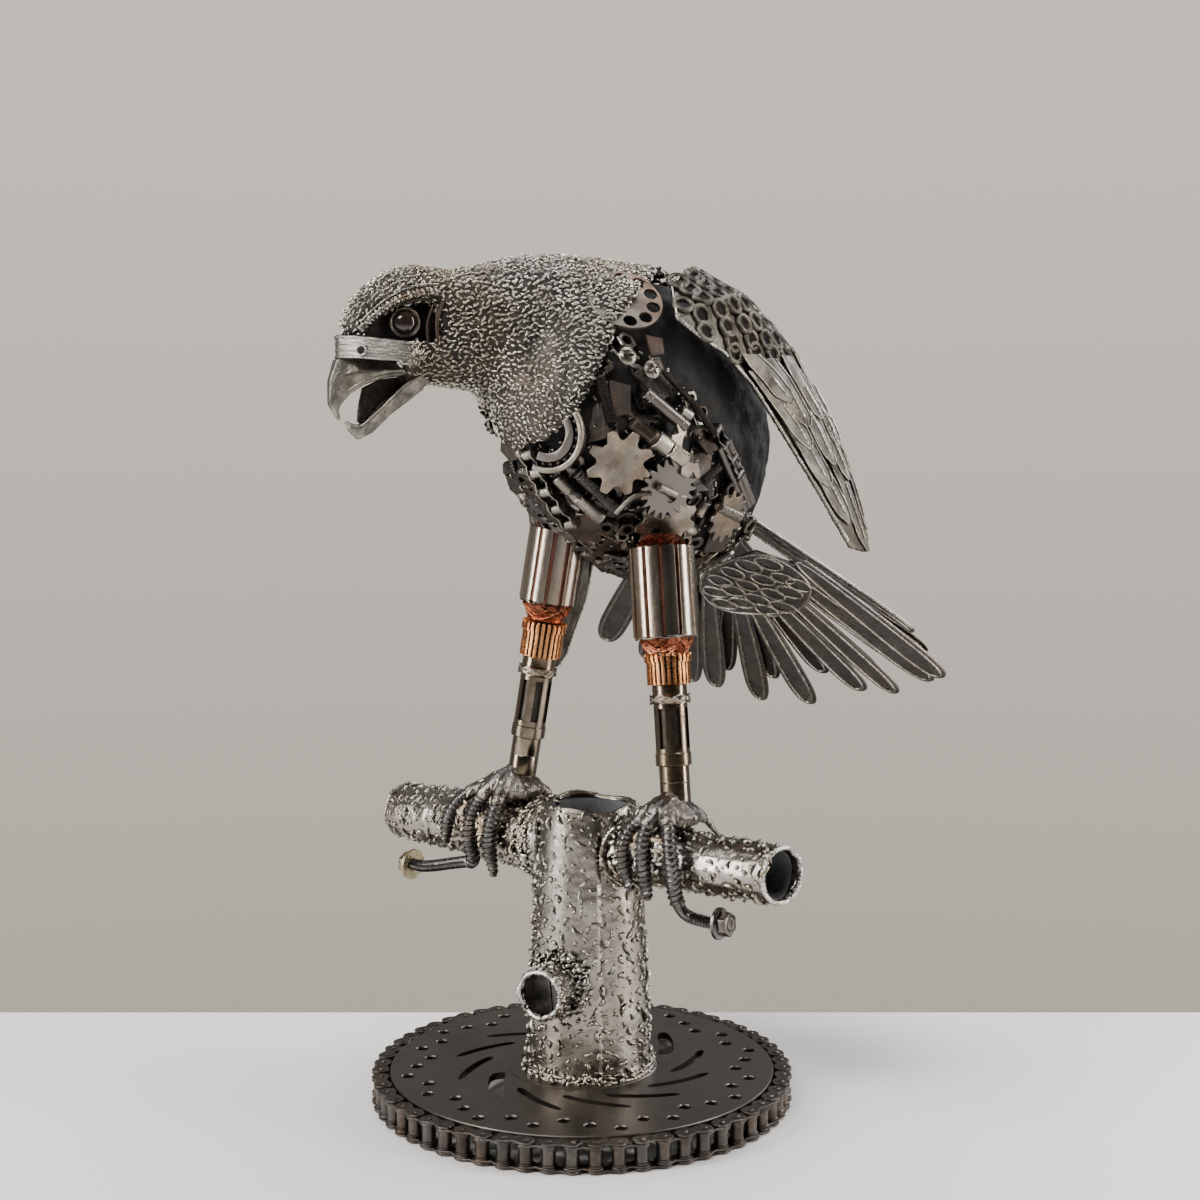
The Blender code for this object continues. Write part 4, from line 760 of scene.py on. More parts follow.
def barked(node_name, outward, bm=None, voxel=0.0013, lump=0.0007, gap=0.0074):
    bm = bm or skin(node_name, voxel, 4)
    bm.normal_update()
    for v in bm.verts:
        v.co += v.normal * lump * (noise.noise(v.co * 55) + 0.35 * noise.noise(v.co * 210))
    worms, worm_faces = spread(bm, gap, outward, 4)
    drops, drop_faces = spread(bm, gap * 0.8, outward, 4)
    fall = np.tile(np.array([0.25, 0.1, -1.0]), (len(worms), 1))
    sizes = chance.uniform(0.6, 1.45, len(worms))
    fine = chance.uniform(0.4, 1.25, len(drops))
    dressing = bmesh.new()
    into(dressing,
         beads(worms, worm_faces, fall, 0.0036 * sizes, 0.0015, 0.0026 * sizes ** 0.5, 0.9, 0.0, 1.3))
    into(dressing, beads(drops, drop_faces, fall[:1], 0.0018 * fine, 0.0014 * fine, 0.0018 * fine, 1.5, 0.1))
    pipe = hang(bm, node_name + "_pipe", pipe_steel, (node_name,), 180).data
    spots, normals = np.empty(len(pipe.vertices) * 3), np.empty(len(pipe.vertices) * 3)
    pipe.vertices.foreach_get("co", spots)
    pipe.vertices.foreach_get("normal", normals)
    bore = outward(spots.reshape(-1, 3), -normals.reshape(-1, 3))
    # Painted shade: the inside of the bore gets a height of 0, so it is darkened towards the smoke colour;
    # the outside keeps 1.
    lit = np.where(bore, 0.0, 1.0).astype(np.float32)
    pipe.attributes.new("height", "FLOAT", "POINT").data.foreach_set("value", lit)
    hang(dressing, node_name + "_spatter", weld_bright, smooth=180, closed=False)


def away_from_trunk_axis(points, facing):
    d = points[:, :2] - TRUNK_AXIS
    return (d * facing[:, :2]).sum(1) > 0.2 * np.linalg.norm(d, axis=1)


def away_from_branch_axis(points, facing):
    d = points[:, 1:] - np.array([TRUNK_Y, PERCH_Z])
    return (d * facing[:, 1:]).sum(1) > 0.2 * np.linalg.norm(d, axis=1)


KNOT_TURN = math.radians(8)
KNOT_Z = 0.0915 + FLOOR
KNOT_REACH, KNOT_RIM, KNOT_COLLAR = 0.0685, 0.0164, 0.0205
KNOT_OUT = Vector((math.sin(KNOT_TURN), -math.cos(KNOT_TURN), 0))
KNOT_FROM = Vector((TRUNK_X, TRUNK_Y, KNOT_Z))


def away_from_knot_axis(points, facing):
    d = points - np.array(KNOT_FROM)
    d = d - (d @ np.array(KNOT_OUT))[:, None] * np.array(KNOT_OUT)
    return (d * facing).sum(1) > 0.2 * np.linalg.norm(d, axis=1)


TRUNK_WALL, TRUNK_RIM, TRUNK_FOOT = 0.0032, 0.0338, 0.0480
TRUNK_OUTSIDE = ((0.0218, 0.0495), (0.0250, 0.0472), (0.0300, 0.0460), (0.075, 0.0438), (0.150, 0.0400),
                 (0.200, 0.0366), (0.2175, 0.0352))
TRUNK_SEAM, SEAM_HALF, SEAM_DEEP = math.radians(-36), 0.17, 0.0034
TRUNK_STEPS, TRUNK_ROWS = 150, 110


def rim_rise(a):
    return 0.0016 * math.sin(3 * a + 0.4) + 0.0010 * math.sin(5 * a + 1.3)


def trunk_solid():
    heights, radii = zip(*TRUNK_OUTSIDE)
    rings = []
    for wall in (0.0, TRUNK_WALL):
        rows = np.linspace(heights[0], heights[-1], TRUNK_ROWS)
        for h in rows if wall == 0 else rows[::-1]:
            share = max(0.0, (h - 0.195) / (heights[-1] - 0.195))
            ring = []
            for k in range(TRUNK_STEPS):
                a = TAU * k / TRUNK_STEPS
                off = abs((a - TRUNK_SEAM + math.pi) % TAU - math.pi)
                dent = SEAM_DEEP * max(0.0, 1 - off / SEAM_HALF) ** 1.4
                r = np.interp(h, heights, radii) - (wall if wall else dent)
                ring.append(Vector((TRUNK_X + r * math.cos(a), TRUNK_Y + r * math.sin(a),
                                    h + FLOOR + rim_rise(a) * share)))
            rings.append(ring)
    bm = bmesh.new()
    rows = [[bm.verts.new(p) for p in ring] for ring in rings]
    for low, high in zip(rows, rows[1:] + rows[:1]):
        for k in range(TRUNK_STEPS):
            j = (k + 1) % TRUNK_STEPS
            bm.faces.new((low[k], low[j], high[j], high[k]))
    bmesh.ops.recalc_face_normals(bm, faces=bm.faces)
    return bm


barked("trunk", away_from_trunk_axis, trunk_solid())
barked("perch_left", away_from_branch_axis)
barked("perch_right", away_from_branch_axis)
barked("knot_stub", away_from_knot_axis, gap=0.006)


def loop(centre, u, v, radius, wobble=0.0006, sides=40, lean=None):
    out = []
    for k in range(sides):
        a = TAU * k / sides
        p = Vector(centre) + u * radius * math.cos(a) + v * radius * math.sin(a)
        shift = noise.noise(p * 160)
        out_of = (p - Vector(centre)).normalized()
        out.append(p + (lean or u.cross(v)) * wobble * shift * 2 + out_of * wobble * shift)
    return out


lips = bmesh.new()
trunk_rim = []
for a in (TAU * k / 60 for k in range(60)):
    trunk_rim.append(Vector((TRUNK_X + TRUNK_RIM * math.cos(a), TRUNK_Y + TRUNK_RIM * math.sin(a),
                             TRUNK_OUTSIDE[-1][0] + FLOOR + rim_rise(a))))
weld_line(lips, trunk_rim, 0.0019, 0.0022, cyclic=True)
LEFT_REACH, RIGHT_REACH, END_RISE = 0.1710, 0.1860, 0.0015
LEFT_RADIUS, RIGHT_RADIUS, LEFT_SLANT = 0.0188, 0.0199, 0.0035
left_end = Vector((LEFT_REACH, TRUNK_Y, PERCH_Z + END_RISE))
right_end = Vector((-RIGHT_REACH, TRUNK_Y, PERCH_Z + END_RISE))
for end, radius, sign, slant in ((left_end, LEFT_RADIUS, 1, LEFT_SLANT), (right_end, RIGHT_RADIUS, -1, 0.0)):
    rim = [p + X * sign * slant * (p.y - TRUNK_Y) * sign / radius for p in loop(end, Y * sign, UP, radius)]
    weld_line(lips, rim, LIP * 1.15, 0.0026, cyclic=True)
cut_edges = bmesh.new()
sawn = loop(left_end, Y, UP, LEFT_RADIUS + 0.0002, 0.0012)
weld_line(cut_edges, [p + X * LEFT_SLANT * (p.y - TRUNK_Y) / LEFT_RADIUS for p in sawn], 0.0021, 0.0030,
          cyclic=True)
knot_across = Vector((math.cos(KNOT_TURN), math.sin(KNOT_TURN), 0))
knot_end = KNOT_FROM + KNOT_OUT * KNOT_REACH
weld_line(cut_edges, loop(knot_end, knot_across, UP, KNOT_RIM, 0.0012), 0.0024, 0.0032, cyclic=True)
hang(cut_edges, "cut_edges", edge_bright, smooth=180, closed=False)
for radius, z in ((0.0482, 0.0058), (0.0470, 0.0085)):
    weld_line(lips, loop((TRUNK_X, TRUNK_Y, z), X, Y, radius, 0.0010), 0.0026, 0.0034, cyclic=True, sides=8)


# %% A thin dull lining in the two bores that show, dark blue-grey as painted shade
LINING = 0.0006


def lined(name, ends, place):
    (low, wide), (high, narrow) = ends
    shell = lathe(((wide - LINING, low), (wide, low), (narrow, high), (narrow - LINING, high),
                   (wide - LINING, low)), 48)
    hang(shell, name, bore_shade_lining, smooth=60, place=place)


lined("trunk_bore", ((0.150, 0.0360), (0.2150, 0.0318)), Matrix.Translation((TRUNK_X, TRUNK_Y, FLOOR)))
lined("branch_bore", ((0.060, 0.0176), (0.1685, 0.0168)), stand(Vector((0, TRUNK_Y, PERCH_Z + 0.0012)), X))


# %% Weld collars where pipe meets pipe
def collar(bm, centre, direction, radius, reach, strands=3, thick=0.0024):
    u, v, w = axes_for(direction)
    for k in range(strands):
        line = loop(centre, u, v, radius, 0.0016, 44, w)
        seated = []
        for p in line:
            d = p - Vector(centre)
            ahead = math.sqrt(max(reach ** 2 - d.dot(u) ** 2, 0.0))
            seated.append(p + w * (ahead + 0.0022 * k) + d.normalized() * (0.0012 - 0.0012 * k))
        weld_line(bm, seated, thick * (1 - 0.15 * k), 0.0030, cyclic=True, sides=8)


core = Vector((TRUNK_X, TRUNK_Y, PERCH_Z))
collar(lips, core, X, 0.0232, 0.0385, 1, 0.0034)
collar(lips, core, -X, 0.0286, 0.0385, 1, 0.0034)
collar(lips, KNOT_FROM, KNOT_OUT, 0.0190, 0.0432, 1, 0.0026)
hang(lips, "pipe_welds", weld_bright, smooth=180, closed=False)

# %% Splashes of weld at the foot of the trunk, round the knot and where the branches leave the trunk
def splash(centres, facing, count, scatter, size):
    # Small clumps scattered about some points of a surface.
    pick = chance.integers(0, len(centres), count)
    where = np.array(centres)[pick] + chance.normal(0, 1, (count, 3)) * np.array(scatter)
    sizes = chance.uniform(0.5, 1.5, count) * size
    return beads(where, np.array(facing)[pick], np.tile(WELD_RUNS, (count, 1)), 1.7 * sizes, 0.8 * sizes,
                 0.9 * sizes, 1.4, 0.2, 1.0)


# Two dark blue-grey half discs close the knot's bore a little way in: painted shade inside it.
for sign in (1, -1):
    half_moon = [(0.0152 * math.sin(a) * sign + 0.0006 * sign, 0.0152 * math.cos(a))
                 for a in np.linspace(0, math.pi, 20)]
    back = sheet(half_moon, 0.0010)
    hang(back, f"knot_bore_shade_{'left' if sign > 0 else 'right'}", bore_shade_steel,
         place=stand(KNOT_FROM + KNOT_OUT * 0.0530, KNOT_OUT, UP, 0.10))
round_about = [TAU * k / 60 for k in range(60)]
foot_out = [(math.cos(a), math.sin(a), 0.3) for a in round_about]
foot_spots = [(TRUNK_X + TRUNK_FOOT * math.cos(a), TRUNK_Y + TRUNK_FOOT * math.sin(a), 0.0072)
              for a in round_about]
splashes = into(bmesh.new(), splash(foot_spots, foot_out, 260, (0.0016, 0.0016, 0.0018), 0.0017))
knot_spots = [KNOT_FROM + KNOT_OUT * 0.0440 + knot_across * KNOT_COLLAR * math.cos(a)
              + UP * KNOT_COLLAR * math.sin(a) for a in round_about]
knot_out = [KNOT_OUT + knot_across * math.cos(a) + UP * math.sin(a) for a in round_about]
into(splashes, splash(knot_spots, knot_out, 240, (0.0030, 0.0014, 0.0040), 0.0015))
for sign, radius, first, last in ((1, 0.0235, 0.036, 0.052), (-1, 0.0282, 0.034, 0.050)):
    branch_spots, branch_out = [], []
    for k in range(160):
        a = TAU * k / 160
        out = Y * math.cos(a) + UP * math.sin(a)
        reach = first + (last - first) * float(chance.random())
        branch_spots.append(core + X * sign * reach + out * (radius - 0.0004))
        branch_out.append(out)
    into(splashes, splash(branch_spots, branch_out, 230, (0.0020, 0.0010, 0.0010), 0.0019))
rim_spots = [KNOT_FROM + KNOT_OUT * 0.0678 + (knot_across * math.cos(a) + UP * math.sin(a)) * 0.0172
             for a in round_about]
into(splashes, splash(rim_spots, knot_out, 90, (0.0008, 0.0006, 0.0008), 0.0012))
hang(splashes, "pipe_splashes", weld_bright, smooth=180, closed=False)

# %% [markdown]
# Each leg is a motor's armature turned upright: a slotted core of laminations with copper wire bulging
# out of both ends, and below it the commutator with its copper bars. Socket pieces make the shank.

# %% Legs
LEGS = {
    "left": (Vector((0.0585, 0.0170, 0.4165)), Vector((0.0815, 0.0050, 0.2290)),
             (0.3440, 0.4075, 0.3325, 0.3105, 0.2535), 0.0235),
    "right": (Vector((-0.0345, 0.0170, 0.4200)), Vector((-0.0621, 0.0050, 0.2325)),
              (0.3640, 0.4185, 0.3490, 0.3225, 0.2610), 0.0220),
}
SLOTS, BARS, GROOVES = 12, 24, 7
SLOT_FLOOR, LINER = 0.0172, 0.0205
BAR_RADIUS, BAR_DEEP, HOOK_RADIUS, HOOK_DEEP, BAR_CORE = 0.0155, 0.0022, 0.0168, 0.0036, 0.0142
FLUTE_FLOOR, TIE = 0.0099, 0.0135


def pole_outline(radius):
    outline = []
    for k in range(SLOTS):
        for share, r in ((0.0, SLOT_FLOOR), (0.06, SLOT_FLOOR), (0.09, radius - 0.0014),
                         (0.13, radius - 0.0002), (0.20, radius), (0.5, radius), (0.80, radius),
                         (0.87, radius - 0.0002), (0.91, radius - 0.0014), (0.94, SLOT_FLOOR)):
            a = TAU * (k + 0.11 + share) / SLOTS
            outline.append((math.cos(a) * r, math.sin(a) * r))
    return outline


def bar_outline(radius, deep):
    outline = []
    for k in range(BARS):
        for share, r in ((0.0, radius - deep), (0.15, radius - deep), (0.21, radius - 0.0001),
                         (0.5, radius + 0.0001), (0.79, radius - 0.0001), (0.85, radius - deep)):
            a = TAU * (k + share) / BARS
            outline.append((math.cos(a) * r, math.sin(a) * r))
    return outline


def wavy(place, radius, wave, count, angles, shift=0.0):
    # Points on a circle that rises and falls.
    return [place @ Vector((radius * math.cos(a), radius * math.sin(a), wave * math.sin(count * a + shift)))
            for a in angles]


def wire_bundle(bm, place, radius, height, wire=0.00055, bundles=12, strands=4):
    for k in range(bundles):
        for n in range(strands):
            a0 = TAU * (k + 0.1 * n) / bundles
            a1 = a0 + TAU * 4.4 / bundles
            wild = chance.normal(0, 1, 3)
            path = []
            for s in np.linspace(0, 1, 9):
                a = a0 + (a1 - a0) * s
                bulge = math.sin(math.pi * s)
                r = radius * (1.0 - 0.24 * bulge + 0.02 * wild[0])
                z = height * (0.08 + bulge * (0.70 + 0.10 * wild[1])) + 0.0007 * n
                path.append(place @ Vector((r * math.cos(a), r * math.sin(a), z)))
            tube(bm, path, wire, 5)


for name, (hip, ankle, marks, wide) in LEGS.items():
    core_low, core_high, com_high, com_low, knee = marks
    rise = hip - ankle
    spot = {h: ankle + rise * (h - ankle.z) / rise.z + UP * FLOOR for h in marks}
    axis = rise.normalized()
    u, v, w = axes_for(axis, Y)
    turn = Matrix((u, v, w)).transposed().to_4x4()

    def at(h, lift=0.0):
        where = ankle + rise * (h - ankle.z) / rise.z + UP * FLOOR + axis * lift
        return Matrix.Translation(where) @ turn

    length = (spot[core_high] - spot[core_low]).length
    middle = (core_low + core_high) / 2
    core_piece = sheet(pole_outline(wide), length, 0.0004)
    hang(core_piece, f"laminations_{name}", lamination, (f"armature_{name}",), 25,
         place=at(middle))
    liner = sheet([(math.cos(TAU * k / 24) * LINER, math.sin(TAU * k / 24) * LINER) for k in range(24)],
                  length - 0.002)
    hang(liner, f"slot_liners_{name}", slot_red, smooth=30, place=at(middle))
    coil = bmesh.new()
    wire_bundle(coil, at(core_low) @ Matrix.Rotation(math.pi, 4, "X"), 0.0185, 0.0125)
    top_coil = bmesh.new()
    wire_bundle(top_coil, at(core_high), 0.0168, 0.0070)
    hang(top_coil, f"top_wire_{name}", copper_dark, (), 60, closed=False)
    for turns in range(5):
        ring = wavy(at(com_high, 0.0012 + 0.0012 * turns), TIE, 0.0004, 5, np.linspace(0, TAU, 25)[:-1])
        tube(coil, ring, 0.0007, 5, True)
    bulb = lathe(((0, 0), (0.0110, 0), (0.0118, 0.004), (0.0128, 0.010), (0, 0.0118)), 20)
    into(coil, at_places(bulb, [at(com_high, 0.0002)]))
    hang(coil, f"wire_{name}", copper, (f"winding_{name}",), 60, closed=False)
    tall = (spot[com_high] - spot[com_low]).length
    dark_core = round_bar(BAR_CORE, 0.0004, tall * 0.95, 32)
    hang(dark_core, f"bar_core_{name}", scrap_black, smooth=30, place=at(com_low))
    bars = bmesh.new()
    add(bars, sheet(bar_outline(BAR_RADIUS, BAR_DEEP), tall * 0.72), at(com_low, tall * 0.36))
    add(bars, sheet(bar_outline(HOOK_RADIUS, HOOK_DEEP), tall * 0.20), at(com_low, tall * 0.82))
    risers = [at(com_low, tall * 0.93) @ ring_place(TAU * (k + 0.5) / BARS, 0.0150, 0) for k in range(BARS)]
    hook = block(0.0036, 0.0020, 0.0030)
    soften(hook, hook.edges, 0.0005)
    into(bars, at_places(hook, risers))
    hang(bars, f"copper_bars_{name}", copper_bar, (f"commutator_{name}",), 35, closed=False)

    top, foot = spot[com_low], spot[knee]
    long = (top - foot).length
    upper = lathe(((0, 0), (0.0122, 0), (0.0128, 0.0006), (0.0128, 0.0085), (0.0122, 0.0092),
                   (0.0122, long * 0.76), (0.0130, long * 0.775), (0.0138, long * 0.80),
                   (0.0138, long * 0.86), (0.0126, long * 0.875), (0.0124, long * 0.89),
                   (0.0124, long - 0.0008), (0.0118, long - 0.0002), (0, long - 0.0002)), 48)
    grooves = [(block(0.0066, 0.0056, long * 0.50),
                ring_place(TAU * (k + 0.3) / GROOVES, 0.0126, long * 0.46)) for k in range(GROOVES)]
    upper = cut_through(upper, joined(grooves))
    upper.transform(at(knee))
    # A dark bar fills the floors of the flutes: painted shade in the grooves.
    flute_shade_core = round_bar(FLUTE_FLOOR, long * 0.1, long * 0.8, 28)
    hang(flute_shade_core, f"flute_shade_core_{name}", scrap_dark, smooth=30, place=at(knee))
    hang(upper, f"socket_{name}", shank_steel, (f"shank_upper_{name}",), 30)
    drop_length = (foot - (ankle + UP * FLOOR)).length
    lower = lathe(((0, -0.002), (0.0106, -0.002), (0.0108, 0.001), (0.0108, drop_length * 0.5),
                   (0.0105, drop_length * 0.52), (0.0108, drop_length * 0.54),
                   (0.0108, drop_length - 0.0005), (0.0102, drop_length), (0, drop_length)), 36)
    hang(lower, f"shank_rod_{name}", shank_steel, (f"shank_lower_{name}",), 30,
         place=at(ankle.z))
    squiggle = bmesh.new()
    for k in range(3):
        line = wavy(at(knee, long * (0.80 + 0.022 * k)), 0.0139, 0.0016, 6, np.linspace(0, TAU, 49)[:-1],
                    2 * k)
        weld_line(squiggle, line, 0.0010, 0.0018, cyclic=True)
    rim_end = -0.4 if name == "left" else -1.6
    rim = wavy(at(core_low, -0.0006), wide * 0.93, 0.0006, 9, np.linspace(-2.4, rim_end, 22))
    weld_line(squiggle, rim, 0.0011, 0.0019)
    hang(squiggle, f"shank_weld_{name}", weld_bright, smooth=180, closed=False)
print("legs dressed:", len(LEGS))

# %% [markdown]
# The feet are poured weld with toes of coarse screw thread hooked over the perch. On each foot one toe
# runs on below the perch as a bent bolt with a flanged six-sided head.

# %% Feet
FEET = {
    "left": (Vector((0.0815, -0.0010, 0.2195)), (
        ((0.0715, -0.0165, 0.2205), (0.0615, -0.0235, 0.2115), (0.0572, -0.0280, 0.1920),
         (0.0625, -0.0225, 0.1660)),
        ((0.0800, -0.0195, 0.2215), (0.0765, -0.0255, 0.2120), (0.0758, -0.0285, 0.1930),
         (0.0772, -0.0220, 0.1620)),
        ((0.0915, -0.0170, 0.2225), (0.0960, -0.0240, 0.2140), (0.1010, -0.0282, 0.1920),
         (0.1012, -0.0235, 0.1680),
         (0.1055, -0.0190, 0.1545), (0.1240, -0.0150, 0.1520), (0.1320, -0.0145, 0.1525))),
        ((0.0940, 0.0100, 0.2210), (0.1005, 0.0175, 0.2145), (0.1055, 0.0240, 0.2030))),
    "right": (Vector((-0.0640, -0.0010, 0.2220)), (
        ((-0.0820, -0.0150, 0.2225), (-0.0965, -0.0225, 0.2160), (-0.1075, -0.0290, 0.2010),
         (-0.1125, -0.0265, 0.1760)),
        ((-0.0735, -0.0200, 0.2220), (-0.0825, -0.0265, 0.2090), (-0.0875, -0.0295, 0.1870),
         (-0.0845, -0.0240, 0.1665),
         (-0.1020, -0.0200, 0.1625), (-0.1430, -0.0180, 0.1520), (-0.1550, -0.0178, 0.1525)),
        ((-0.0600, -0.0205, 0.2225), (-0.0605, -0.0275, 0.2100), (-0.0668, -0.0300, 0.1880),
         (-0.0635, -0.0255, 0.1580))),
        ((-0.0530, 0.0140, 0.2215), (-0.0480, 0.0240, 0.2130), (-0.0470, 0.0285, 0.2020))),
}
TOE_CORE, TOE_WIRE, TOE_PITCH = 0.0044, 0.0015, 0.0040
TOE_POUR, HIND_POUR = 0.0060, 0.0040
BOLT_SHANK, BOLT_THREAD, THREAD_PITCH = 0.0043, 0.0047, 0.0021
HEX, HEX_TALL, FLANGES = 0.0088, 0.0084, {"left": 0.0112, "right": 0.0118}


def hex_bolt_head(flange):
    shape = lathe(((0, 0), (flange, 0), (flange, 0.0022), (flange - 0.0020, 0.0036), (0, 0.0036)), 32)
    head_block = bmesh.new()
    bmesh.ops.create_cone(head_block, cap_ends=True, segments=6, radius1=HEX, radius2=HEX, depth=HEX_TALL)
    soften(head_block, head_block.edges, 0.0006, 2)
    dished = lathe(((0, 0), (0.0044, 0), (0.0050, 0.0006), (0.0036, 0.0004), (0, 0.0001)), 20)
    return joined([(shape, Matrix()), (head_block, Matrix.Translation((0, 0, 0.0055))),
                   (dished, Matrix.Translation((0, 0, 0.0093)))])


def wound(bm, line, radius, wire, pitch, steps=11, tip=1.0):
    # A wire wound round a line, closing in to a share of its radius at the far end.
    line = resampled(line, pitch / steps)
    u = axes_for(line[1] - line[0])[0]
    path = []
    for i, (a, b) in enumerate(zip(line, line[1:])):
        w = (b - a).normalized()
        u = (u - w * u.dot(w)).normalized()
        turn = TAU * i / steps
        near = 1.0 - (1.0 - tip) * max(0.0, (i / len(line) - 0.72) / 0.28)
        path.append(a + (u * math.cos(turn) + w.cross(u) * math.sin(turn)) * radius * near)
    tube(bm, path, wire, 6)


for name, (hub, toes, behind) in FEET.items():
    pour = solid(f"foot_hub_{name}")
    top = hub + UP * FLOOR
    strands = []
    for path in list(toes) + [behind]:
        first, second = Vector(path[0]) + UP * FLOOR, Vector(path[1]) + UP * FLOOR
        strand = rounded([top + UP * 0.013, top.lerp(first, 0.6) + UP * 0.007, first + UP * 0.001,
                          first.lerp(second, 0.8)])
        line = resampled(strand, 0.0015)
        thick = TOE_POUR if path is not behind else HIND_POUR
        into(pour, tube_mesh(line, [thick * (1.0 + 0.25 * noise.noise(p * 170)) for p in line], 10))
        strands += line
    blob = modified(pour, ("REMESH", {"mode": "VOXEL", "voxel_size": 0.0011}),
                    ("SMOOTH", {"factor": 0.6, "iterations": 9}))
    blob.normal_update()
    for v in blob.verts:
        v.co += v.normal * (0.0010 * noise.noise(v.co * 120) + 0.0003 * noise.noise(v.co * 330))
    spots, faces_out = spread(blob, 0.0075, None, 4)
    down = spots - np.array(top + UP * 0.02)
    melt_size = chance.uniform(0.5, 1.3, len(spots))
    melt = into(bmesh.new(), beads(spots, faces_out, down, 0.0032 * melt_size, 0.0012 * melt_size,
                                   0.0012 * melt_size, 0.5, 0.3, 0.8))
    hang(blob, f"hub_{name}", hub_weld, (f"foot_hub_{name}",), 180)
    hang(melt, f"hub_weld_{name}", weld_bright, smooth=180, closed=False)
    for n, path in enumerate(toes):
        path = [Vector(p) + UP * FLOOR for p in path]
        toe_piece = bmesh.new()
        hook = rounded(path[:4] + ([path[3].lerp(path[4], 0.4)] if len(path) > 4 else []), 2)
        line = resampled(hook, 0.0012)
        last = 1.0 if len(path) > 4 else 0.45
        count = len(line)
        core = [TOE_CORE * (1.0 - (1.0 - last) * max(0.0, (i / count - 0.72) / 0.28)) for i in range(count)]
        into(toe_piece, tube_mesh(line, core, 12))
        wound(toe_piece, hook, TOE_CORE, TOE_WIRE, TOE_PITCH, tip=last)
        if len(path) > 4:
            shank_line = rounded(path[3:], 2)
            bend = resampled(shank_line, 0.001)
            plain = int(len(bend) * (0.42 if name == "left" else 0.10))
            tube(toe_piece, bend[:plain + 2], BOLT_SHANK, 14)
            thread(toe_piece, bend[plain:], BOLT_THREAD, THREAD_PITCH, 0.20, 14)
        hang(toe_piece, f"screw_toe_{name}_{n + 1}", toe_steel, (f"toe_{name}_{n + 1}",), 50,
             False)
        if len(path) > 4:
            out = (path[-1] - path[-2]).normalized()
            bolt = hex_bolt_head(FLANGES[name])
            hang(bolt, f"bolt_head_{name}", zinc_yellow
                 if name == "right" else toe_steel, smooth=35,
                 place=stand(path[-1] - out * 0.0005, out))
    patches, crumbs = bmesh.new(), bmesh.new()
    for a, b in zip(toes, toes[1:]):
        mid = (Vector(a[2]) + Vector(b[2])) / 2 + UP * (FLOOR + 0.004) + Y * 0.0040
        outward = np.array([[0.0, -1.0, 0.1]])
        into(patches, splash([mid], outward, 30, (0.0024, 0.0012, 0.0060), 0.0016))
        into(crumbs, splash([mid + UP * 0.006], outward, 16, (0.0020, 0.0010, 0.0030), 0.0019))
    hang(patches, f"toe_weld_{name}", weld_bright, smooth=180, closed=False)
    hang(crumbs, f"toe_crumbs_{name}", crumb, smooth=180, closed=False)
print("feet dressed:", len(FEET))

# %% [markdown]
# The body is packed with scrap: sprockets, bolts, nuts, bearings and bits of chain, welded in wherever
# they would fit. The pieces that can be made out in the picture are seated one by one on the egg of the
# body. The far side, the belly and the back are filled from the same box of scrap in a plainer way.

# %% Places on the body
BODY_TILT = math.radians(27)
BODY_AHEAD = Vector((0, -math.cos(BODY_TILT), math.sin(BODY_TILT)))
BODY_UP = Vector((0, math.sin(BODY_TILT), math.cos(BODY_TILT)))
BODY = ((BODY_AHEAD, 0.129), (X, 0.079), (BODY_UP, 0.104))
BODY_POWER = 2.25


def seat(x, y, h, lift=0.0):
    d = Vector((x, y, h + FLOOR)) - TORSO_CENTRE
    d = d * sum(abs(d.dot(axis) / size) ** BODY_POWER for axis, size in BODY) ** (-1 / BODY_POWER)
    n = Vector((0, 0, 0))
    for axis, size in BODY:
        c = d.dot(axis) / size
        n += axis * math.copysign(abs(c) ** (BODY_POWER - 1) / size, c)
    n.normalize()
    return TORSO_CENTRE + d + n * lift, n


def laid(x, y, h, lift=0.0, turn=0.0):
    p, n = seat(x, y, h, lift)
    return stand(p, n, BODY_AHEAD, turn)


# %% The box of scrap
def washer(outer, inner, thick, steps=20):
    soft = thick * 0.3
    half = thick / 2
    return lathe(((inner, -half), (outer - soft, -half), (outer, -half + soft), (outer, half - soft),
                  (outer - soft, half), (inner + soft, half), (inner, half - soft), (inner, -half)), steps)


def nut(radius, tall, hole):
    ring = [(radius * math.cos(TAU * k / 6), radius * math.sin(TAU * k / 6)) for k in range(6)]
    return cut_through(sheet(ring, tall, tall * 0.12), round_bar(hole, -tall, tall, 14))


def cog(radius, root, teeth, profile, thick, holes=(), bevel=0.0003):
    outline = []
    for k in range(teeth):
        for share, height in profile:
            a = TAU * (k + share) / teeth
            r = root + (radius - root) * height
            outline.append((r * math.cos(a), r * math.sin(a)))
    bm = sheet(outline, thick, bevel)
    if holes:
        cutters = [(round_bar(r, -thick, thick, 14), Matrix.Translation((x, y, 0)))
                   for x, y, r in holes]
        bm = cut_through(bm, joined(cutters))
    return bm


POINTED = ((0.0, 0.0), (0.12, 0.08), (0.38, 0.95), (0.5, 1.0), (0.62, 0.95), (0.88, 0.08))
ROLLER_SEATS = ((0.0, 1.0), (0.14, 0.98), (0.24, 0.55), (0.32, 0.18), (0.42, 0.02), (0.5, 0.0), (0.58, 0.02),
                (0.68, 0.18), (0.76, 0.55), (0.86, 0.98))


def sector(outline_radius, inner, start, sweep, dips, depth, thick):
    outer, low = [], []
    steps = dips * 8
    for k in range(steps + 1):
        a = start + sweep * k / steps
        bite = max(0.0, math.cos(TAU * k / 8 + math.pi)) ** 1.5
        r = outline_radius - depth * bite
        outer.append((r * math.cos(a), r * math.sin(a)))
        low.append((inner * math.cos(a), inner * math.sin(a)))
    return sheet(outer + low[::-1], thick, 0.0003)


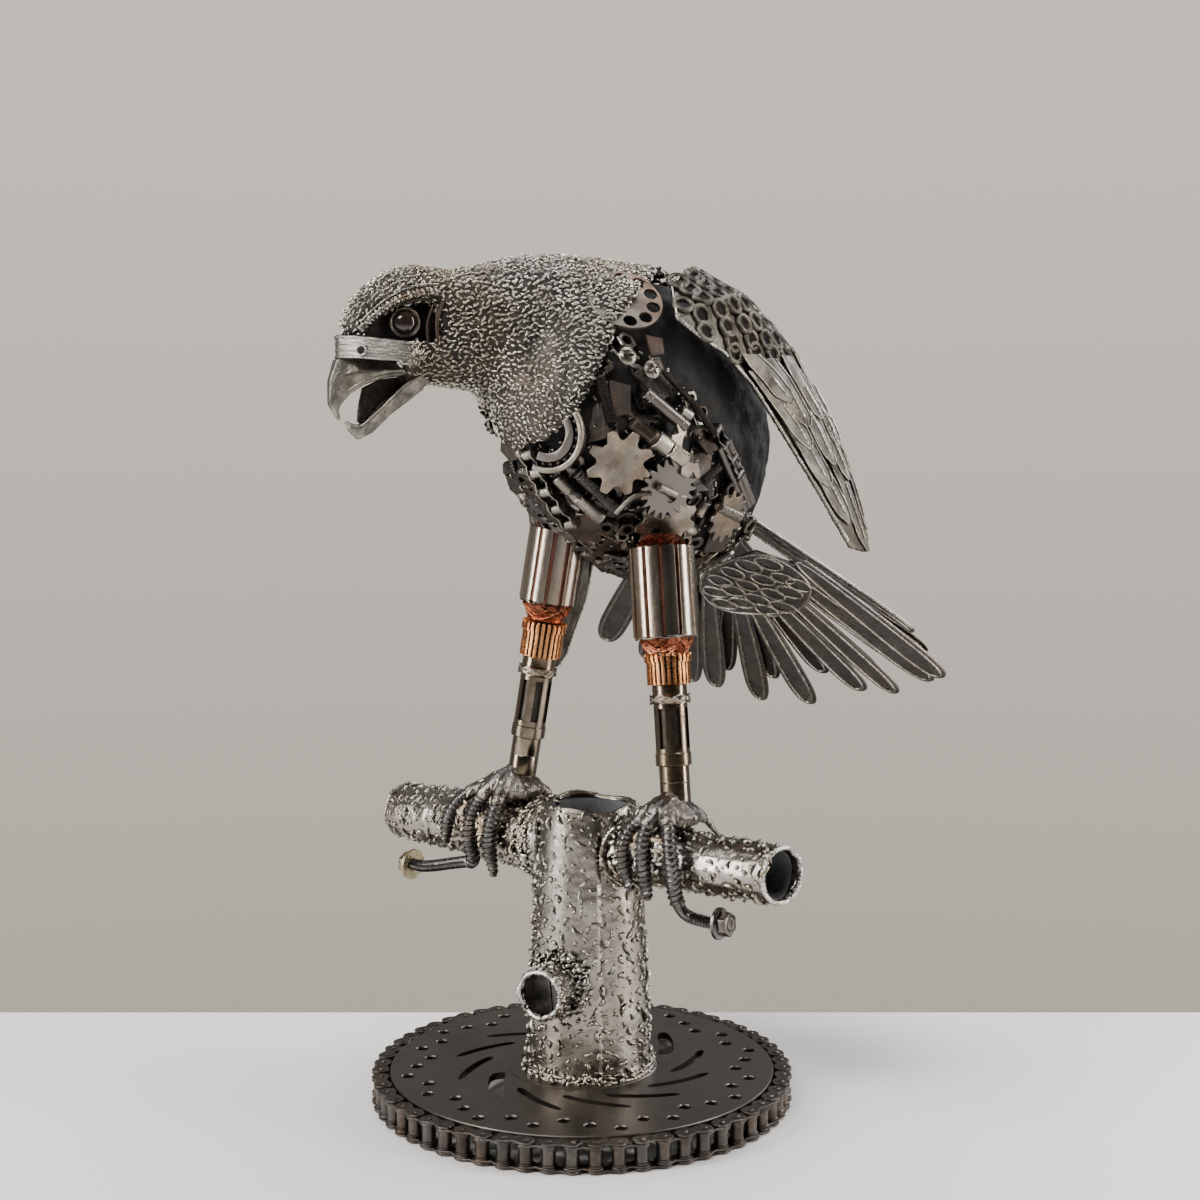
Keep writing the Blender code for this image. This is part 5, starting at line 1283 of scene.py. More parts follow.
def screw_head(radius):
    dome = lathe(((0, -0.0012), (radius, -0.0012), (radius, 0.0004), (radius * 0.85, 0.0016),
                  (radius * 0.5, 0.0024), (0, 0.0027)), 24)
    arm, slot = radius * 0.62, radius * 0.13
    quarter = ((arm, -slot), (arm, slot), (slot, slot))
    cross = []
    for turn in range(4):
        c, s = math.cos(turn * math.pi / 2), math.sin(turn * math.pi / 2)
        cross += [(x * c - y * s, x * s + y * c) for x, y in quarter]
    cutter = sheet(cross, 0.0040)
    bmesh.ops.translate(cutter, verts=cutter.verts, vec=(0, 0, 0.0030))
    return cut_through(dome, cutter)


def rod(bm, p, q, radius, sides=12, pitch=None, depth=0.16):
    if pitch:
        return thread(bm, [p, q], radius, pitch, depth, sides)
    soft = min(radius * 0.2, 0.0006)
    d = (Vector(q) - Vector(p)).normalized()
    line = [Vector(p), Vector(p) + d * soft, Vector(q) - d * soft, Vector(q)]
    return into(bm, tube_mesh(line, [radius - soft, radius, radius, radius - soft], sides))


def span(a, b, lift):
    return seat(*a, lift)[0], seat(*b, lift)[0]


# %% The dark body and the pieces that show in the picture
body_skin = skin("torso", 0.0036, 3)
body_skin.normal_update()
for v in body_skin.verts:
    v.co += v.normal * (0.0014 * noise.noise(v.co * 70) + 0.0007 * noise.noise(v.co * 210) - 0.0006)
# The shell is near black: painted shadow where it is left bare under the near wing, painted shade in the gaps
# between the scrap.
hang(body_skin, "body_shell", body_shadow_black, ("torso",), 180)


def piece(bm, name, material, place, node_name=None, smooth=32):
    bm.transform(place)
    return hang(bm, name, material, (node_name,) if node_name else (), smooth)


def arc_plate(outer, inner, thick, start, end, steps=30):
    spots = [start + (end - start) * k / steps for k in range(steps + 1)]
    ring = [(outer * math.cos(a), outer * math.sin(a)) for a in spots]
    return sheet(ring + [(inner * math.cos(a), inner * math.sin(a)) for a in spots[::-1]], thick, 0.0007, 2)


BEARING_FROM, BEARING_TO = math.radians(-135), math.radians(12)
piece(arc_plate(0.0290, 0.0250, 0.0070, BEARING_FROM, BEARING_TO), "bearing_outer", scrap_steel,
      laid(0.018, -0.058, 0.490, 0.0042), "bearing_ring")
piece(arc_plate(0.0212, 0.0148, 0.0056, BEARING_FROM, BEARING_TO), "bearing_inner", disc_steel,
      laid(0.018, -0.058, 0.490, 0.0040))
balls = bmesh.new()
bmesh.ops.create_uvsphere(balls, u_segments=10, v_segments=7, radius=0.0019)
ball_ring = [laid(0.018, -0.058, 0.490, 0.0040) @ ring_place(BEARING_FROM + 0.26 * k, 0.0231, 0)
             for k in range(10)]
hang_mesh(at_places(balls, ball_ring), "bearing_balls", scrap_dark, smooth=180)
piece(cog(0.0240, 0.0168, 8, ROLLER_SEATS, 0.0028), "worn_cog", worn_plate,
      laid(0.054, -0.027, 0.469, 0.0044, 0.25), "sprocket_worn")
piece(cog(0.0230, 0.0180, 20, POINTED, 0.0026, ((-0.004, -0.006, 0.0045),)), "toothed_cog", disc_steel,
      laid(0.067, 0.008, 0.452, 0.0074, 0.1), "sprocket_toothed")
piece(sector(0.0236, 0.0126, -1.35, 2.7, 4, 0.0052, 0.0026), "bright_cog", worn_plate,
      laid(0.076, 0.022, 0.481, 0.0090, 2.6), "sprocket_bright")
piece(cog(0.0245, 0.0196, 9, ROLLER_SEATS, 0.0026, ((0.010, 0.006, 0.0042), (-0.009, 0.004, 0.0036))),
      "low_cog", scrap_steel, laid(0.058, 0.020, 0.428, 0.0052, 0.3), "sprocket_low")
piece(cog(0.0205, 0.0156, 12, ROLLER_SEATS, 0.0026), "rear_cog", worn_plate,
      laid(0.071, 0.076, 0.430, 0.0052), "sprocket_rear")
rim_holes = [(0.0204 * math.cos(TAU * k / 10), 0.0204 * math.sin(TAU * k / 10), 0.0050) for k in range(10)]
piece(cog(0.0272, 0.0272, 28, ((0.0, 1.0), (0.5, 1.0)), 0.0024, rim_holes), "drilled_ring", drilled_steel,
      laid(0.0440, -0.0080, 0.5800, 0.0040), "drilled_plate")

p, q = span((0.064, -0.017, 0.5150), (0.0755, 0.0130, 0.4930), 0.0096)
pin = rod(bmesh.new(), p, q, 0.0048, 20)
d = (q - p).normalized()
for share in (0.12, 0.86):
    rod(pin, p.lerp(q, share), p.lerp(q, share) + d * 0.0016, 0.0051, 20)
hang(pin, "roller_pin", disc_steel, ("pin_roller",), 35, False)
p, q = span((0.0600, -0.0250, 0.4965), (0.0745, 0.0130, 0.4705), 0.0110)
plug = thread(bmesh.new(), [p, p.lerp(q, 0.36)], 0.0046, 0.0013, 0.14, 14)
rod(plug, p.lerp(q, 0.34), p.lerp(q, 0.42), 0.0057, 18)
hang(plug, "plug_thread", scrap_dark, (), 40, False)
shell = rod(bmesh.new(), p.lerp(q, 0.42), p.lerp(q, 0.66), 0.0070, 24)
rod(shell, p.lerp(q, 0.68), p.lerp(q, 0.72), 0.0066, 20)
rod(shell, p.lerp(q, 0.72), p.lerp(q, 1.0), 0.0062, 6)
hang(shell, "plug_shell", zinc, ("spark_plug",), 35, False)

bolts = bmesh.new()
for a, b, lift, radius, pitch in (
        ((0.0470, -0.0410, 0.5260), (0.0530, -0.0350, 0.4960), 0.0058, 0.0044, 0.0014),
        ((0.0600, -0.0190, 0.5290), (0.0680, -0.0060, 0.5140), 0.0060, 0.0034, 0.0012),
        ((0.0320, -0.0430, 0.4640), (0.0440, -0.0160, 0.4385), 0.0060, 0.0050, 0.0015),
        ((0.0760, 0.0380, 0.4560), (0.0790, 0.0530, 0.4650), 0.0060, 0.0030, 0.0011),
        ((0.0690, -0.0020, 0.5300), (0.0770, 0.0180, 0.5110), 0.0080, 0.0024, 0.0010),
        ((0.0770, 0.0180, 0.5110), (0.0800, 0.0420, 0.4880), 0.0085, 0.0028, 0.0011)):
    p, q = span(a, b, lift)
    thread(bolts, [p, q], radius, pitch, 0.18, 12)
hang(bolts, "body_bolts", scrap_dark, (), 45, False)

rods = bmesh.new()
for shift in (0.0, 0.0052, 0.0100):
    p, q = span((0.0800, 0.0500 + shift, 0.4790 + shift * 0.5),
                (0.0730, 0.0960 + shift, 0.4340 + shift * 0.4), 0.0060)
    rod(rods, p, q, 0.0026, 10)
hang(rods, "body_rods_brown", disc_steel, (), 40, False)
rods = bmesh.new()
for a, b, lift, radius in (
        ((0.0180, -0.0480, 0.4600), (0.0270, -0.0330, 0.4445), 0.0055, 0.0048),
        ((0.0260, -0.0370, 0.4470), (0.0340, -0.0210, 0.4300), 0.0055, 0.0052),
        ((0.0650, -0.0030, 0.4540), (0.0690, 0.0110, 0.4480), 0.0120, 0.0032),
        ((0.0790, 0.0600, 0.4330), (0.0740, 0.0900, 0.4270), 0.0070, 0.0040),
        ((0.0740, 0.0080, 0.5040), (0.0770, 0.0160, 0.5000), 0.0100, 0.0040),
        ((0.0600, -0.0300, 0.5380), (0.0680, -0.0150, 0.5310), 0.0060, 0.0018)):
    p, q = span(a, b, lift)
    rod(rods, p, q, radius, 16)
hang(rods, "body_rods", scrap_steel, (), 40, False)

strip = resampled(rounded([seat(0.0440, -0.0190, 0.4370, 0.0105)[0], seat(0.0540, -0.0150, 0.4500, 0.0110)[0],
                           seat(0.0610, -0.0050, 0.4500, 0.0110)[0]], 2), 0.001)
hang(tube(bmesh.new(), strip, 0.0017), "body_strip", scrap_steel)

screws = [laid(0.0586, -0.0283, 0.5409, 0.0095, 0.4), laid(0.0688, -0.0148, 0.5323, 0.0095, 0.9)]
hang_mesh(at_places(screw_head(0.0064), screws), "screw_heads", scrap_steel, smooth=35)
plates = bmesh.new()
for corners, lift in (
        (((0.0520, -0.0370, 0.5240), (0.0600, -0.0240, 0.5200), (0.0605, -0.0245, 0.5010),
          (0.0530, -0.0370, 0.4990)), 0.0050),
        (((0.0640, -0.0120, 0.5600), (0.0690, 0.0020, 0.5570), (0.0700, 0.0020, 0.5440),
          (0.0660, -0.0080, 0.5420)), 0.0040),
        (((0.0100, -0.0240, 0.4240), (0.0230, -0.0150, 0.4190), (0.0400, -0.0120, 0.4260),
          (0.0250, -0.0280, 0.4330)), 0.0030)):
    spots = [seat(*c, lift)[0] for c in corners]
    middle = sum(spots, Vector()) / 4
    n = (spots[2] - spots[0]).cross(spots[1] - spots[3]).normalized()
    place = stand(middle, n if n.dot(middle - TORSO_CENTRE) > 0 else -n, BODY_AHEAD)
    flat = [(place.inverted() @ s).xy for s in spots]
    add(plates, sheet([tuple(f) for f in flat], 0.0022, 0.0004), place)
hang(plates, "body_plates", rust, (), 30, False)


# %% A length of roller chain across the front, and loose nuts
def chain_run(points, lift, half_wide=0.0052, scale=0.78):
    spots = [seat(*p, lift) for p in points]
    plates, rollers = [], []
    for (p, n), (q, _) in zip(spots, spots[1:]):
        d = (q - p).normalized()
        across = n.cross(d).normalized()
        for side in (1, -1):
            frame_place = Matrix((d, n, across)).transposed().to_4x4()
            frame_place.translation = (p + q) / 2 + across * side * half_wide
            plates.append(frame_place @ Matrix.Scale(scale, 4))
    for p, n in spots:
        d = (spots[-1][0] - spots[0][0]).normalized()
        rollers.append(stand(p, n.cross(d)))
    bm = into(bmesh.new(), at_places(chain_plate(), plates))
    roller = lathe(((0, -0.0062), (0.0022, -0.0062), (0.0022, -0.0044), (0.0040, -0.0044), (0.0040, 0.0044),
                    (0.0022, 0.0044), (0.0022, 0.0062), (0, 0.0062)), 14)
    return into(bm, at_places(roller, rollers))


runs = chain_run([(0.0020, -0.0560, 0.4750), (0.0050, -0.0500, 0.4635), (0.0070, -0.0420, 0.4510),
                  (0.0095, -0.0340, 0.4390), (0.0120, -0.0240, 0.4280)], 0.0060)
hang(runs, "body_chain", scrap_steel, (), 35, False)
more = chain_run([(0.0800, 0.0480, 0.4900), (0.0810, 0.0580, 0.4800), (0.0810, 0.0690, 0.4700),
                  (0.0800, 0.0790, 0.4590)], 0.0040, 0.0035, 0.62)
hang(more, "body_chain_small", chain_steel, (), 35, False)
nuts = [laid(0.0245, -0.0350, 0.4490, 0.0070, 0.3), laid(0.0330, -0.0130, 0.4260, 0.0050, 0.9),
        laid(0.0740, 0.0320, 0.5020, 0.0060, 0.1), laid(0.0450, -0.0070, 0.4200, 0.0050, 0.5),
        laid(0.0780, 0.0700, 0.4480, 0.0050, 0.7)]
hang_mesh(at_places(nut(0.0062, 0.0050, 0.0033), nuts), "loose_nuts", scrap_dark, smooth=30)

# %% Fill the rest of the body from the box
COVER = BVHTree.FromBMesh(solid("head_and_mantle"))
TAKEN = ((0.018, -0.058, 0.490, 0.026), (0.054, -0.027, 0.469, 0.024), (0.067, 0.008, 0.452, 0.022),
         (0.076, 0.022, 0.481, 0.020), (0.058, 0.020, 0.428, 0.024), (0.071, 0.076, 0.430, 0.020),
         (0.050, 0.010, 0.583, 0.024), (0.0700, -0.0020, 0.5040, 0.014), (0.0685, -0.0040, 0.4835, 0.014),
         (0.0560, -0.0300, 0.5120, 0.018), (0.0300, -0.0340, 0.4500, 0.018), (0.0620, -0.0180, 0.5330, 0.014),
         (0.0060, -0.0450, 0.4560, 0.014), (0.0800, 0.0600, 0.4650, 0.018), (0.0740, 0.0080, 0.5200, 0.012))
taken = [(seat(x, y, h)[0], reach) for x, y, h, reach in TAKEN]


THROAT_LINE, THROAT_LOW = -0.048, 0.460
SHADED_SIDE, SHADED_FRONT, SHADED_TOP, SHADED_SLANT = 0.03, 0.007, 0.5323, 1.12


def in_shade(p):
    # Under the near wing nothing is laid on the body behind the slanting rods, so its near black shell shows
    # there as painted shadow, and the throat is bare.
    at_throat = 0.79 * p.x + 0.62 * p.y < THROAT_LINE and p.z > THROAT_LOW + FLOOR
    return at_throat or p.x > SHADED_SIDE and p.y > SHADED_FRONT + (SHADED_TOP + FLOOR - p.z) * SHADED_SLANT


def in_open(p, n, clear):
    covered = COVER.ray_cast(p - n * 0.004, n, 0.020)[0] is not None or COVER.find_nearest(p)[3] <= clear
    return not covered and not in_shade(p)


def free_of_others(points, facing):
    pairs = [(Vector(p), Vector(n)) for p, n in zip(points, facing)]
    return np.array([in_open(p, n, 0.007) and all((p - spot).length > reach for spot, reach in taken)
                     for p, n in pairs])


def free_of_cover(points, facing):
    return np.array([in_open(Vector(p), Vector(n), 0.005) for p, n in zip(points, facing)])


filler = skin("torso", 0.0050, 2)
spots, outward = spread(filler, 0.0098, free_of_others, 5)
filler.free()
kinds = chance.choice(6, len(spots), p=(0.26, 0.14, 0.16, 0.20, 0.14, 0.10))
templates = []
screw = bmesh.new()
into(screw,
     tube_mesh([(x, 0, 0) for x in np.linspace(-0.0100, 0.0100, 15)],
               [0.0036 if k % 2 else 0.0029 for k in range(15)], 8))
templates.append((screw, scrap_dark, "rods"))
templates.append((nut(0.0068, 0.0052, 0.0036), scrap_steel, "nuts"))
templates.append((washer(0.0092, 0.0046, 0.0020, 18), chain_steel, "washers"))
templates.append((sheet(((-0.0120, -0.0080), (0.0090, -0.0100), (0.0125, 0.0020), (0.0030, 0.0105),
                         (-0.0105, 0.0075)), 0.0022, 0.0003), scrap_dark, "offcuts"))
templates.append((lathe(((0, -0.0060), (0.0046, -0.0060), (0.0050, -0.0050), (0.0044, -0.0040),
                         (0.0044, 0.0040), (0.0050, 0.0050), (0.0046, 0.0060), (0, 0.0060)), 12),
                  scrap_steel, "rollers"))
templates.append((cog(0.0130, 0.0100, 12, POINTED, 0.0024, ((0, 0, 0.0042),)), chain_steel, "cogs"))
for kind, (template, material, label) in enumerate(templates):
    places = []
    for p, n in zip(spots[kinds == kind], outward[kinds == kind]):
        tilt = Vector(n) + Vector(chance.normal(0, 0.16, 3))
        lift = chance.uniform(0.0005, 0.0030)
        place = stand(Vector(p) + Vector(n) * lift, tilt, BODY_AHEAD, chance.uniform(0, TAU))
        if label == "rollers":
            place = place @ Matrix.Rotation(math.pi / 2, 4, "X")
        places.append(place @ Matrix.Scale(chance.uniform(0.75, 1.2), 4))
    hang_mesh(at_places(template, places), f"box_{label}", material, smooth=38)
torso_copy = into(bmesh.new(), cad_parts["torso"].data.copy())
drips, drip_faces = spread(torso_copy, 0.0080, free_of_cover, 4)
clumps, CLUMP = [], 0.0024
for p, n in zip(drips, drip_faces):
    u, v, w = axes_for(n, BODY_AHEAD)
    for k in range(int(chance.integers(1, 5))):
        shift = np.array(u) * chance.normal(0, CLUMP) + np.array(v) * chance.normal(0, CLUMP)
        clumps.append((np.array(p + shift), n))
clump_faces = np.array([c[1] for c in clumps])
clump_lift = chance.uniform(0.0, 0.0050, len(clumps))[:, None]
clump_points = np.array([c[0] for c in clumps]) + clump_faces * clump_lift
size = chance.uniform(0.5, 1.3, len(clumps))
hang_mesh(beads(clump_points, clump_faces, np.tile(WELD_RUNS, (len(clumps), 1)), 0.0021 * size, 0.0012 * size,
                0.0011 * size, 1.2), "body_spatter", scrap_steel, smooth=180)
print("scrap from the box:", len(spots), "spatter:", len(clumps))

# %% [markdown]
# Each wing is one bent sheet. Washers are laid over the shoulder like scales, and below them long
# feathers of thin sheet overlap towards the tip, each with a seam of weld round its edge.

# %% Wing surface and strips that follow it
LEFT_WING = (
    ((0.0540, 0.0351, 0.5969), (0.0540, 0.0600, 0.6065), (0.0400, 0.0860, 0.6065)),
    ((0.0800, 0.0062, 0.5678), (0.0800, 0.0765, 0.5865), (0.0620, 0.1180, 0.5840)),
    ((0.0880, 0.0228, 0.5553), (0.0880, 0.1010, 0.5670), (0.0700, 0.1400, 0.5640)),
    ((0.0920, 0.0469, 0.5458), (0.0920, 0.1275, 0.5470), (0.0760, 0.1620, 0.5450)),
    ((0.0980, 0.0756, 0.5232), (0.0980, 0.1430, 0.5230), (0.0850, 0.1720, 0.5210)),
    ((0.1030, 0.0976, 0.4983), (0.1030, 0.1625, 0.4970), (0.0930, 0.1860, 0.4960)),
    ((0.1150, 0.1348, 0.4505), (0.1150, 0.1810, 0.4505), (0.1080, 0.1980, 0.4510)),
    ((0.1290, 0.1650, 0.4030), (0.1300, 0.1890, 0.3990), (0.1280, 0.1960, 0.4030)),
)
RIGHT_WING = (
    ((-0.0540, 0.0360, 0.5930), (-0.0520, 0.0620, 0.6055), (-0.0400, 0.0860, 0.6050)),
    ((-0.0820, 0.0100, 0.5600), (-0.0810, 0.0780, 0.5850), (-0.0620, 0.1180, 0.5800)),
    ((-0.0900, 0.0300, 0.5200), (-0.0950, 0.1000, 0.5350), (-0.0790, 0.1400, 0.5300)),
    ((-0.0980, 0.0500, 0.4700), (-0.1050, 0.1100, 0.4800), (-0.0910, 0.1500, 0.4750)),
    ((-0.1050, 0.0720, 0.4150), (-0.1130, 0.1180, 0.4200), (-0.1000, 0.1500, 0.4150)),
    ((-0.1110, 0.0900, 0.3600), (-0.1180, 0.1190, 0.3600), (-0.1090, 0.1420, 0.3550)),
    ((-0.1150, 0.1030, 0.3120), (-0.1200, 0.1150, 0.3050), (-0.1160, 0.1250, 0.3100)),
    ((-0.1190, 0.1110, 0.2990), (-0.1210, 0.1150, 0.2975), (-0.1195, 0.1190, 0.2990)),
)
# Feathers on the wing: row and share of width where each starts and ends, and half its width.
WING_FEATHERS = (
    (5.0, 0.40, 7.0, 0.45, 0.0055), (4.7, 0.74, 6.7, 0.76, 0.0055), (4.9, 0.10, 6.60, 0.18, 0.0058),
    (4.2, 0.52, 5.95, 0.53, 0.0070), (3.9, 0.90, 6.0, 0.86, 0.0060), (4.3, 0.14, 6.05, 0.12, 0.0062),
    (3.7, 0.33, 5.70, 0.34, 0.0070), (3.6, 0.56, 5.40, 0.58, 0.0072), (3.5, 0.78, 5.5, 0.76, 0.0072),
    (3.6, 0.07, 5.45, 0.13, 0.0062), (3.2, 0.24, 5.10, 0.22, 0.0072), (3.1, 0.43, 4.95, 0.46, 0.0074),
    (3.0, 0.65, 4.9, 0.68, 0.0076), (3.1, 0.86, 5.0, 0.86, 0.0070), (3.1, 0.11, 4.50, 0.16, 0.0072),
)


def on_wing(rows, r, s, lift=0.0):
    def point(r, s):
        i = min(max(int(r), 0), len(rows) - 2)
        lead, ridge, trail = (Vector(a).lerp(Vector(b), r - i) for a, b in zip(rows[i], rows[i + 1]))
        return lead * (1 - s) * (1 - 2 * s) + ridge * 4 * s * (1 - s) + trail * s * (2 * s - 1)
    e = 0.03
    along = point(min(r + e, 7), s) - point(max(r - e, 0), s)
    across = point(r, min(s + e, 1)) - point(r, max(s - e, 0))
    n = along.cross(across).normalized()
    if n.x * rows[1][0][0] < 0:
        n = -n
    return point(r, s) + n * lift + UP * FLOOR, n


def wing_width(rows, r):
    return sum((on_wing(rows, r, (k + 1) / 4)[0] - on_wing(rows, r, k / 4)[0]).length for k in range(4))


def strip_on(rows, r0, s0, r1, s1, half, lift, thick=0.0014, steps=12):
    bm = bmesh.new()
    bmesh.ops.create_grid(bm, x_segments=steps, y_segments=4, size=1.0)
    edge_points = {}
    for v in bm.verts:
        t, side = (v.co.x + 1) / 2, v.co.y
        r, s = r0 + (r1 - r0) * t, s0 + (s1 - s0) * t
        opening = 0.72 + 0.28 * min(t * 4, 1.0)
        closing = math.sqrt(max(1 - max((t - 0.82) / 0.18, 0.0) ** 2, 0.03))
        narrow = half * opening * closing
        spot, n = on_wing(rows, r, min(max(s + side * narrow / wing_width(rows, r), 0.0), 1.0), lift)
        v.co = spot + n * 0.0010 * (1 - side * side)
        if abs(abs(side) - 1) < 1e-6:
            edge_points[(side > 0, t)] = spot + n * 0.0003
    bm.normal_update()
    _, n = on_wing(rows, (r0 + r1) / 2, min((s0 + s1) / 2, 1))
    if sum((f.normal for f in bm.faces), Vector()).dot(n) < 0:
        bmesh.ops.reverse_faces(bm, faces=bm.faces)
    bmesh.ops.solidify(bm, geom=bm.faces[:], thickness=thick)
    ts = sorted({t for _, t in edge_points})
    border = [edge_points[(True, t)] for t in ts] + [edge_points[(False, t)] for t in ts[::-1]]
    return bm, border


# %% Dress both wings
HOLE_DISC = 0.0053
WASHER_STEP, WASHER_ROW = 0.0172, 0.0150
for name, rows in (("left", LEFT_WING), ("right", RIGHT_WING)):
    base = skin(f"wing_{name}", 0.0015, 3)
    base.normal_update()
    for v in base.verts:
        v.co += v.normal * 0.0004 * noise.noise(v.co * 120)
    hang(base, f"wing_sheet_{name}", wing_steel, (f"wing_{name}",), 60)
    rings, holes = [], []
    lead_lengths = [0.0]
    for i in range(4):
        lead_lengths.append(lead_lengths[-1] + (Vector(rows[i + 1][0]) - Vector(rows[i][0])).length)
    distance, k = 0.008, 0
    while distance < lead_lengths[3] + 0.012:
        r = float(np.interp(distance, lead_lengths, range(5)))
        step = WASHER_STEP / max(wing_width(rows, r), 0.03)
        s = step * (0.34 if k % 2 == 0 else 0.84)
        while s < 0.97:
            p, n = on_wing(rows, r + chance.normal(0, 0.02), s, 0.0013)
            rings.append(stand(p, n + Vector(chance.normal(0, 0.03, 3)),
                               turn=0) @ Matrix.Scale(chance.uniform(0.96, 1.0), 4))
            holes.append(stand(p - n * 0.0006, n))
            s += step
        distance += WASHER_ROW
        k += 1
    ring = lathe(((0.0052, -0.0014), (0.0088, -0.0014), (0.0089, 0.0003), (0.0082, 0.0013),
                  (0.0074, 0.0007), (0.0066, 0.0008), (0.0058, 0.0014), (0.0052, 0.0008),
                  (0.0052, -0.0014)), 24)
    hang_mesh(at_places(ring, rings), f"wing_washers_{name}", wing_steel, smooth=50)
    # A near black disc sits in each washer's hole: painted shade of the hole.
    hole_shade_disc = round_bar(HOLE_DISC, -0.0004, 0.0002, 14)
    hang_mesh(at_places(hole_shade_disc, holes), f"wing_hole_shade_{name}", scrap_black, smooth=30)
    feathers, seams = bmesh.new(), bmesh.new()
    for r0, s0, r1, s1, half in WING_FEATHERS:
        lift = 0.0008 + 0.0016 * (7 - r1)
        part, border = strip_on(rows, r0, s0, r1, s1, half * 1.2, lift)
        add(feathers, part, Matrix())
        weld_line(seams, border, 0.0007, 0.0020)
        inner = [on_wing(rows, r0 + (r1 - r0) * t, s0 + (s1 - s0) * t, lift + 0.0011)[0]
                 for t in np.linspace(0.5, 0.9, 7)]
        weld_line(seams, inner, 0.0012, 0.0042)
    hang(feathers, f"wing_feathers_{name}", wing_steel, smooth=45, closed=False)
    for s, rr in ((0.0, np.linspace(0, 6.9, 46)), (1.0, np.linspace(0, 6.9, 40))):
        edge_line = [on_wing(rows, r, s, 0.0002)[0] for r in rr]
        weld_line(seams, edge_line, 0.0019, 0.0028, sides=8)
    across_top = [on_wing(rows, 0.05, s, 0.0004)[0] for s in np.linspace(0, 1, 12)]
    weld_line(seams, across_top, 0.0024, 0.0030, sides=8)
    hang(seams, f"wing_seams_{name}", weld_bright, smooth=180, closed=False)
print("wings dressed")

# %% [markdown]
# The tail is a fan of ten blades with a panel of scales at its root and a roof of four blades above.
# Darker blades stand behind its gaps as painted shade under the roof. Every blade has a raised seam of weld a
# little inside its edge, on both faces.

# %% Tail blades
FAN_ROOT = Vector((0.0, 0.126, 0.411 + FLOOR))
DROOP = math.radians(40.5)
FAN_BACK = Vector((0, math.cos(DROOP), -math.sin(DROOP)))
FAN_NORMAL = Vector((0, math.sin(DROOP), math.cos(DROOP)))
FAN = (
    (-0.0850, 0.0700, -0.1740, 0.1640, 0.0130), (-0.0560, 0.0830, -0.1390, 0.1850, 0.0113),
    (-0.0400, 0.0900, -0.1080, 0.2200, 0.0115), (-0.0232, 0.0977, -0.0815, 0.2211, 0.0115),
    (0.0014, 0.1099, -0.0441, 0.2400, 0.0118), (0.0219, 0.1123, 0.0109, 0.2341, 0.0130),
    (0.0482, 0.1053, 0.0722, 0.2090, 0.0140), (0.0703, 0.0892, 0.1067, 0.2038, 0.0125),
    (0.0898, 0.0737, 0.1455, 0.1842, 0.0140), (0.1061, 0.0544, 0.1601, 0.1737, 0.0140),
)
START_BACK, LONG_START_BACK = 0.034, 0.070
BLADE = ((0.0, 0.50), (0.35, 0.85), (0.78, 1.0), (0.93, 0.82), (1.0, 0.40))


def blade_outline(length, half, inset=0.0):
    top = [(x * length, y * half) for x, y in BLADE]
    ring = rounded([Vector((x, y, 0)) for x, y in top] + [Vector((x, -y, 0)) for x, y in top[::-1]], 2, True)
    if inset:
        middle = length / 2
        ring = [Vector((middle + (p.x - middle) * (1 - inset / middle), p.y * (1 - inset / half), 0))
                for p in ring]
    return [(p.x, p.y) for p in ring]


def blade(bm, seams, base, tip, normal, half, thick):
    length = (tip - base).length
    along = (tip - base).normalized()
    side = normal.cross(along).normalized()
    place = Matrix((along, side, normal)).transposed().to_4x4()
    place.translation = base
    add(bm, sheet(blade_outline(length, half), thick, 0.0004), place)
    for face in (1, -1):
        line = [place @ Vector((x, y, face * (thick / 2 + 0.0003)))
                for x, y in blade_outline(length, half, 0.0040)]
        weld_line(seams, line, 0.0017, 0.0046, cyclic=True)


blades, seams, shade_blades = bmesh.new(), bmesh.new(), bmesh.new()
for i, (x0, b0, x1, b1, half) in enumerate(FAN):
    level = FAN_ROOT + FAN_NORMAL * (0.0013 if i % 2 == 0 else -0.0013)
    base = level + X * x0 + FAN_BACK * b0
    tip = level + X * x1 + FAN_BACK * b1
    base -= (tip - base).normalized() * (LONG_START_BACK if i == 0 else START_BACK)
    blade(blades, seams, base, tip, FAN_NORMAL, half, 0.0018)
# The blades behind the gaps are dark scrap steel: painted shade seen between the near blades.
for (x0, b0, x1, b1, half), (x2, b2, x3, b3, _) in zip(FAN[2:9], FAN[3:10]):
    base = FAN_ROOT + FAN_NORMAL * 0.0044 + X * (x0 + x2) / 2 + FAN_BACK * (b0 + b2) / 2
    tip = FAN_ROOT + FAN_NORMAL * 0.0044 + X * (x1 + x3) / 2 + FAN_BACK * ((b1 + b3) / 2 - 0.030)
    base -= (tip - base).normalized() * START_BACK
    blade(shade_blades, seams, base, tip, FAN_NORMAL, half * 0.9, 0.0016)
fan_nodes = tuple(f"tail_feather_{i + 1:02d}" for i in range(10))
hang(blades, "tail_blades", tail_steel, fan_nodes, 30, False)
hang(shade_blades, "tail_shade_blades", scrap_dark, (), 30, False)

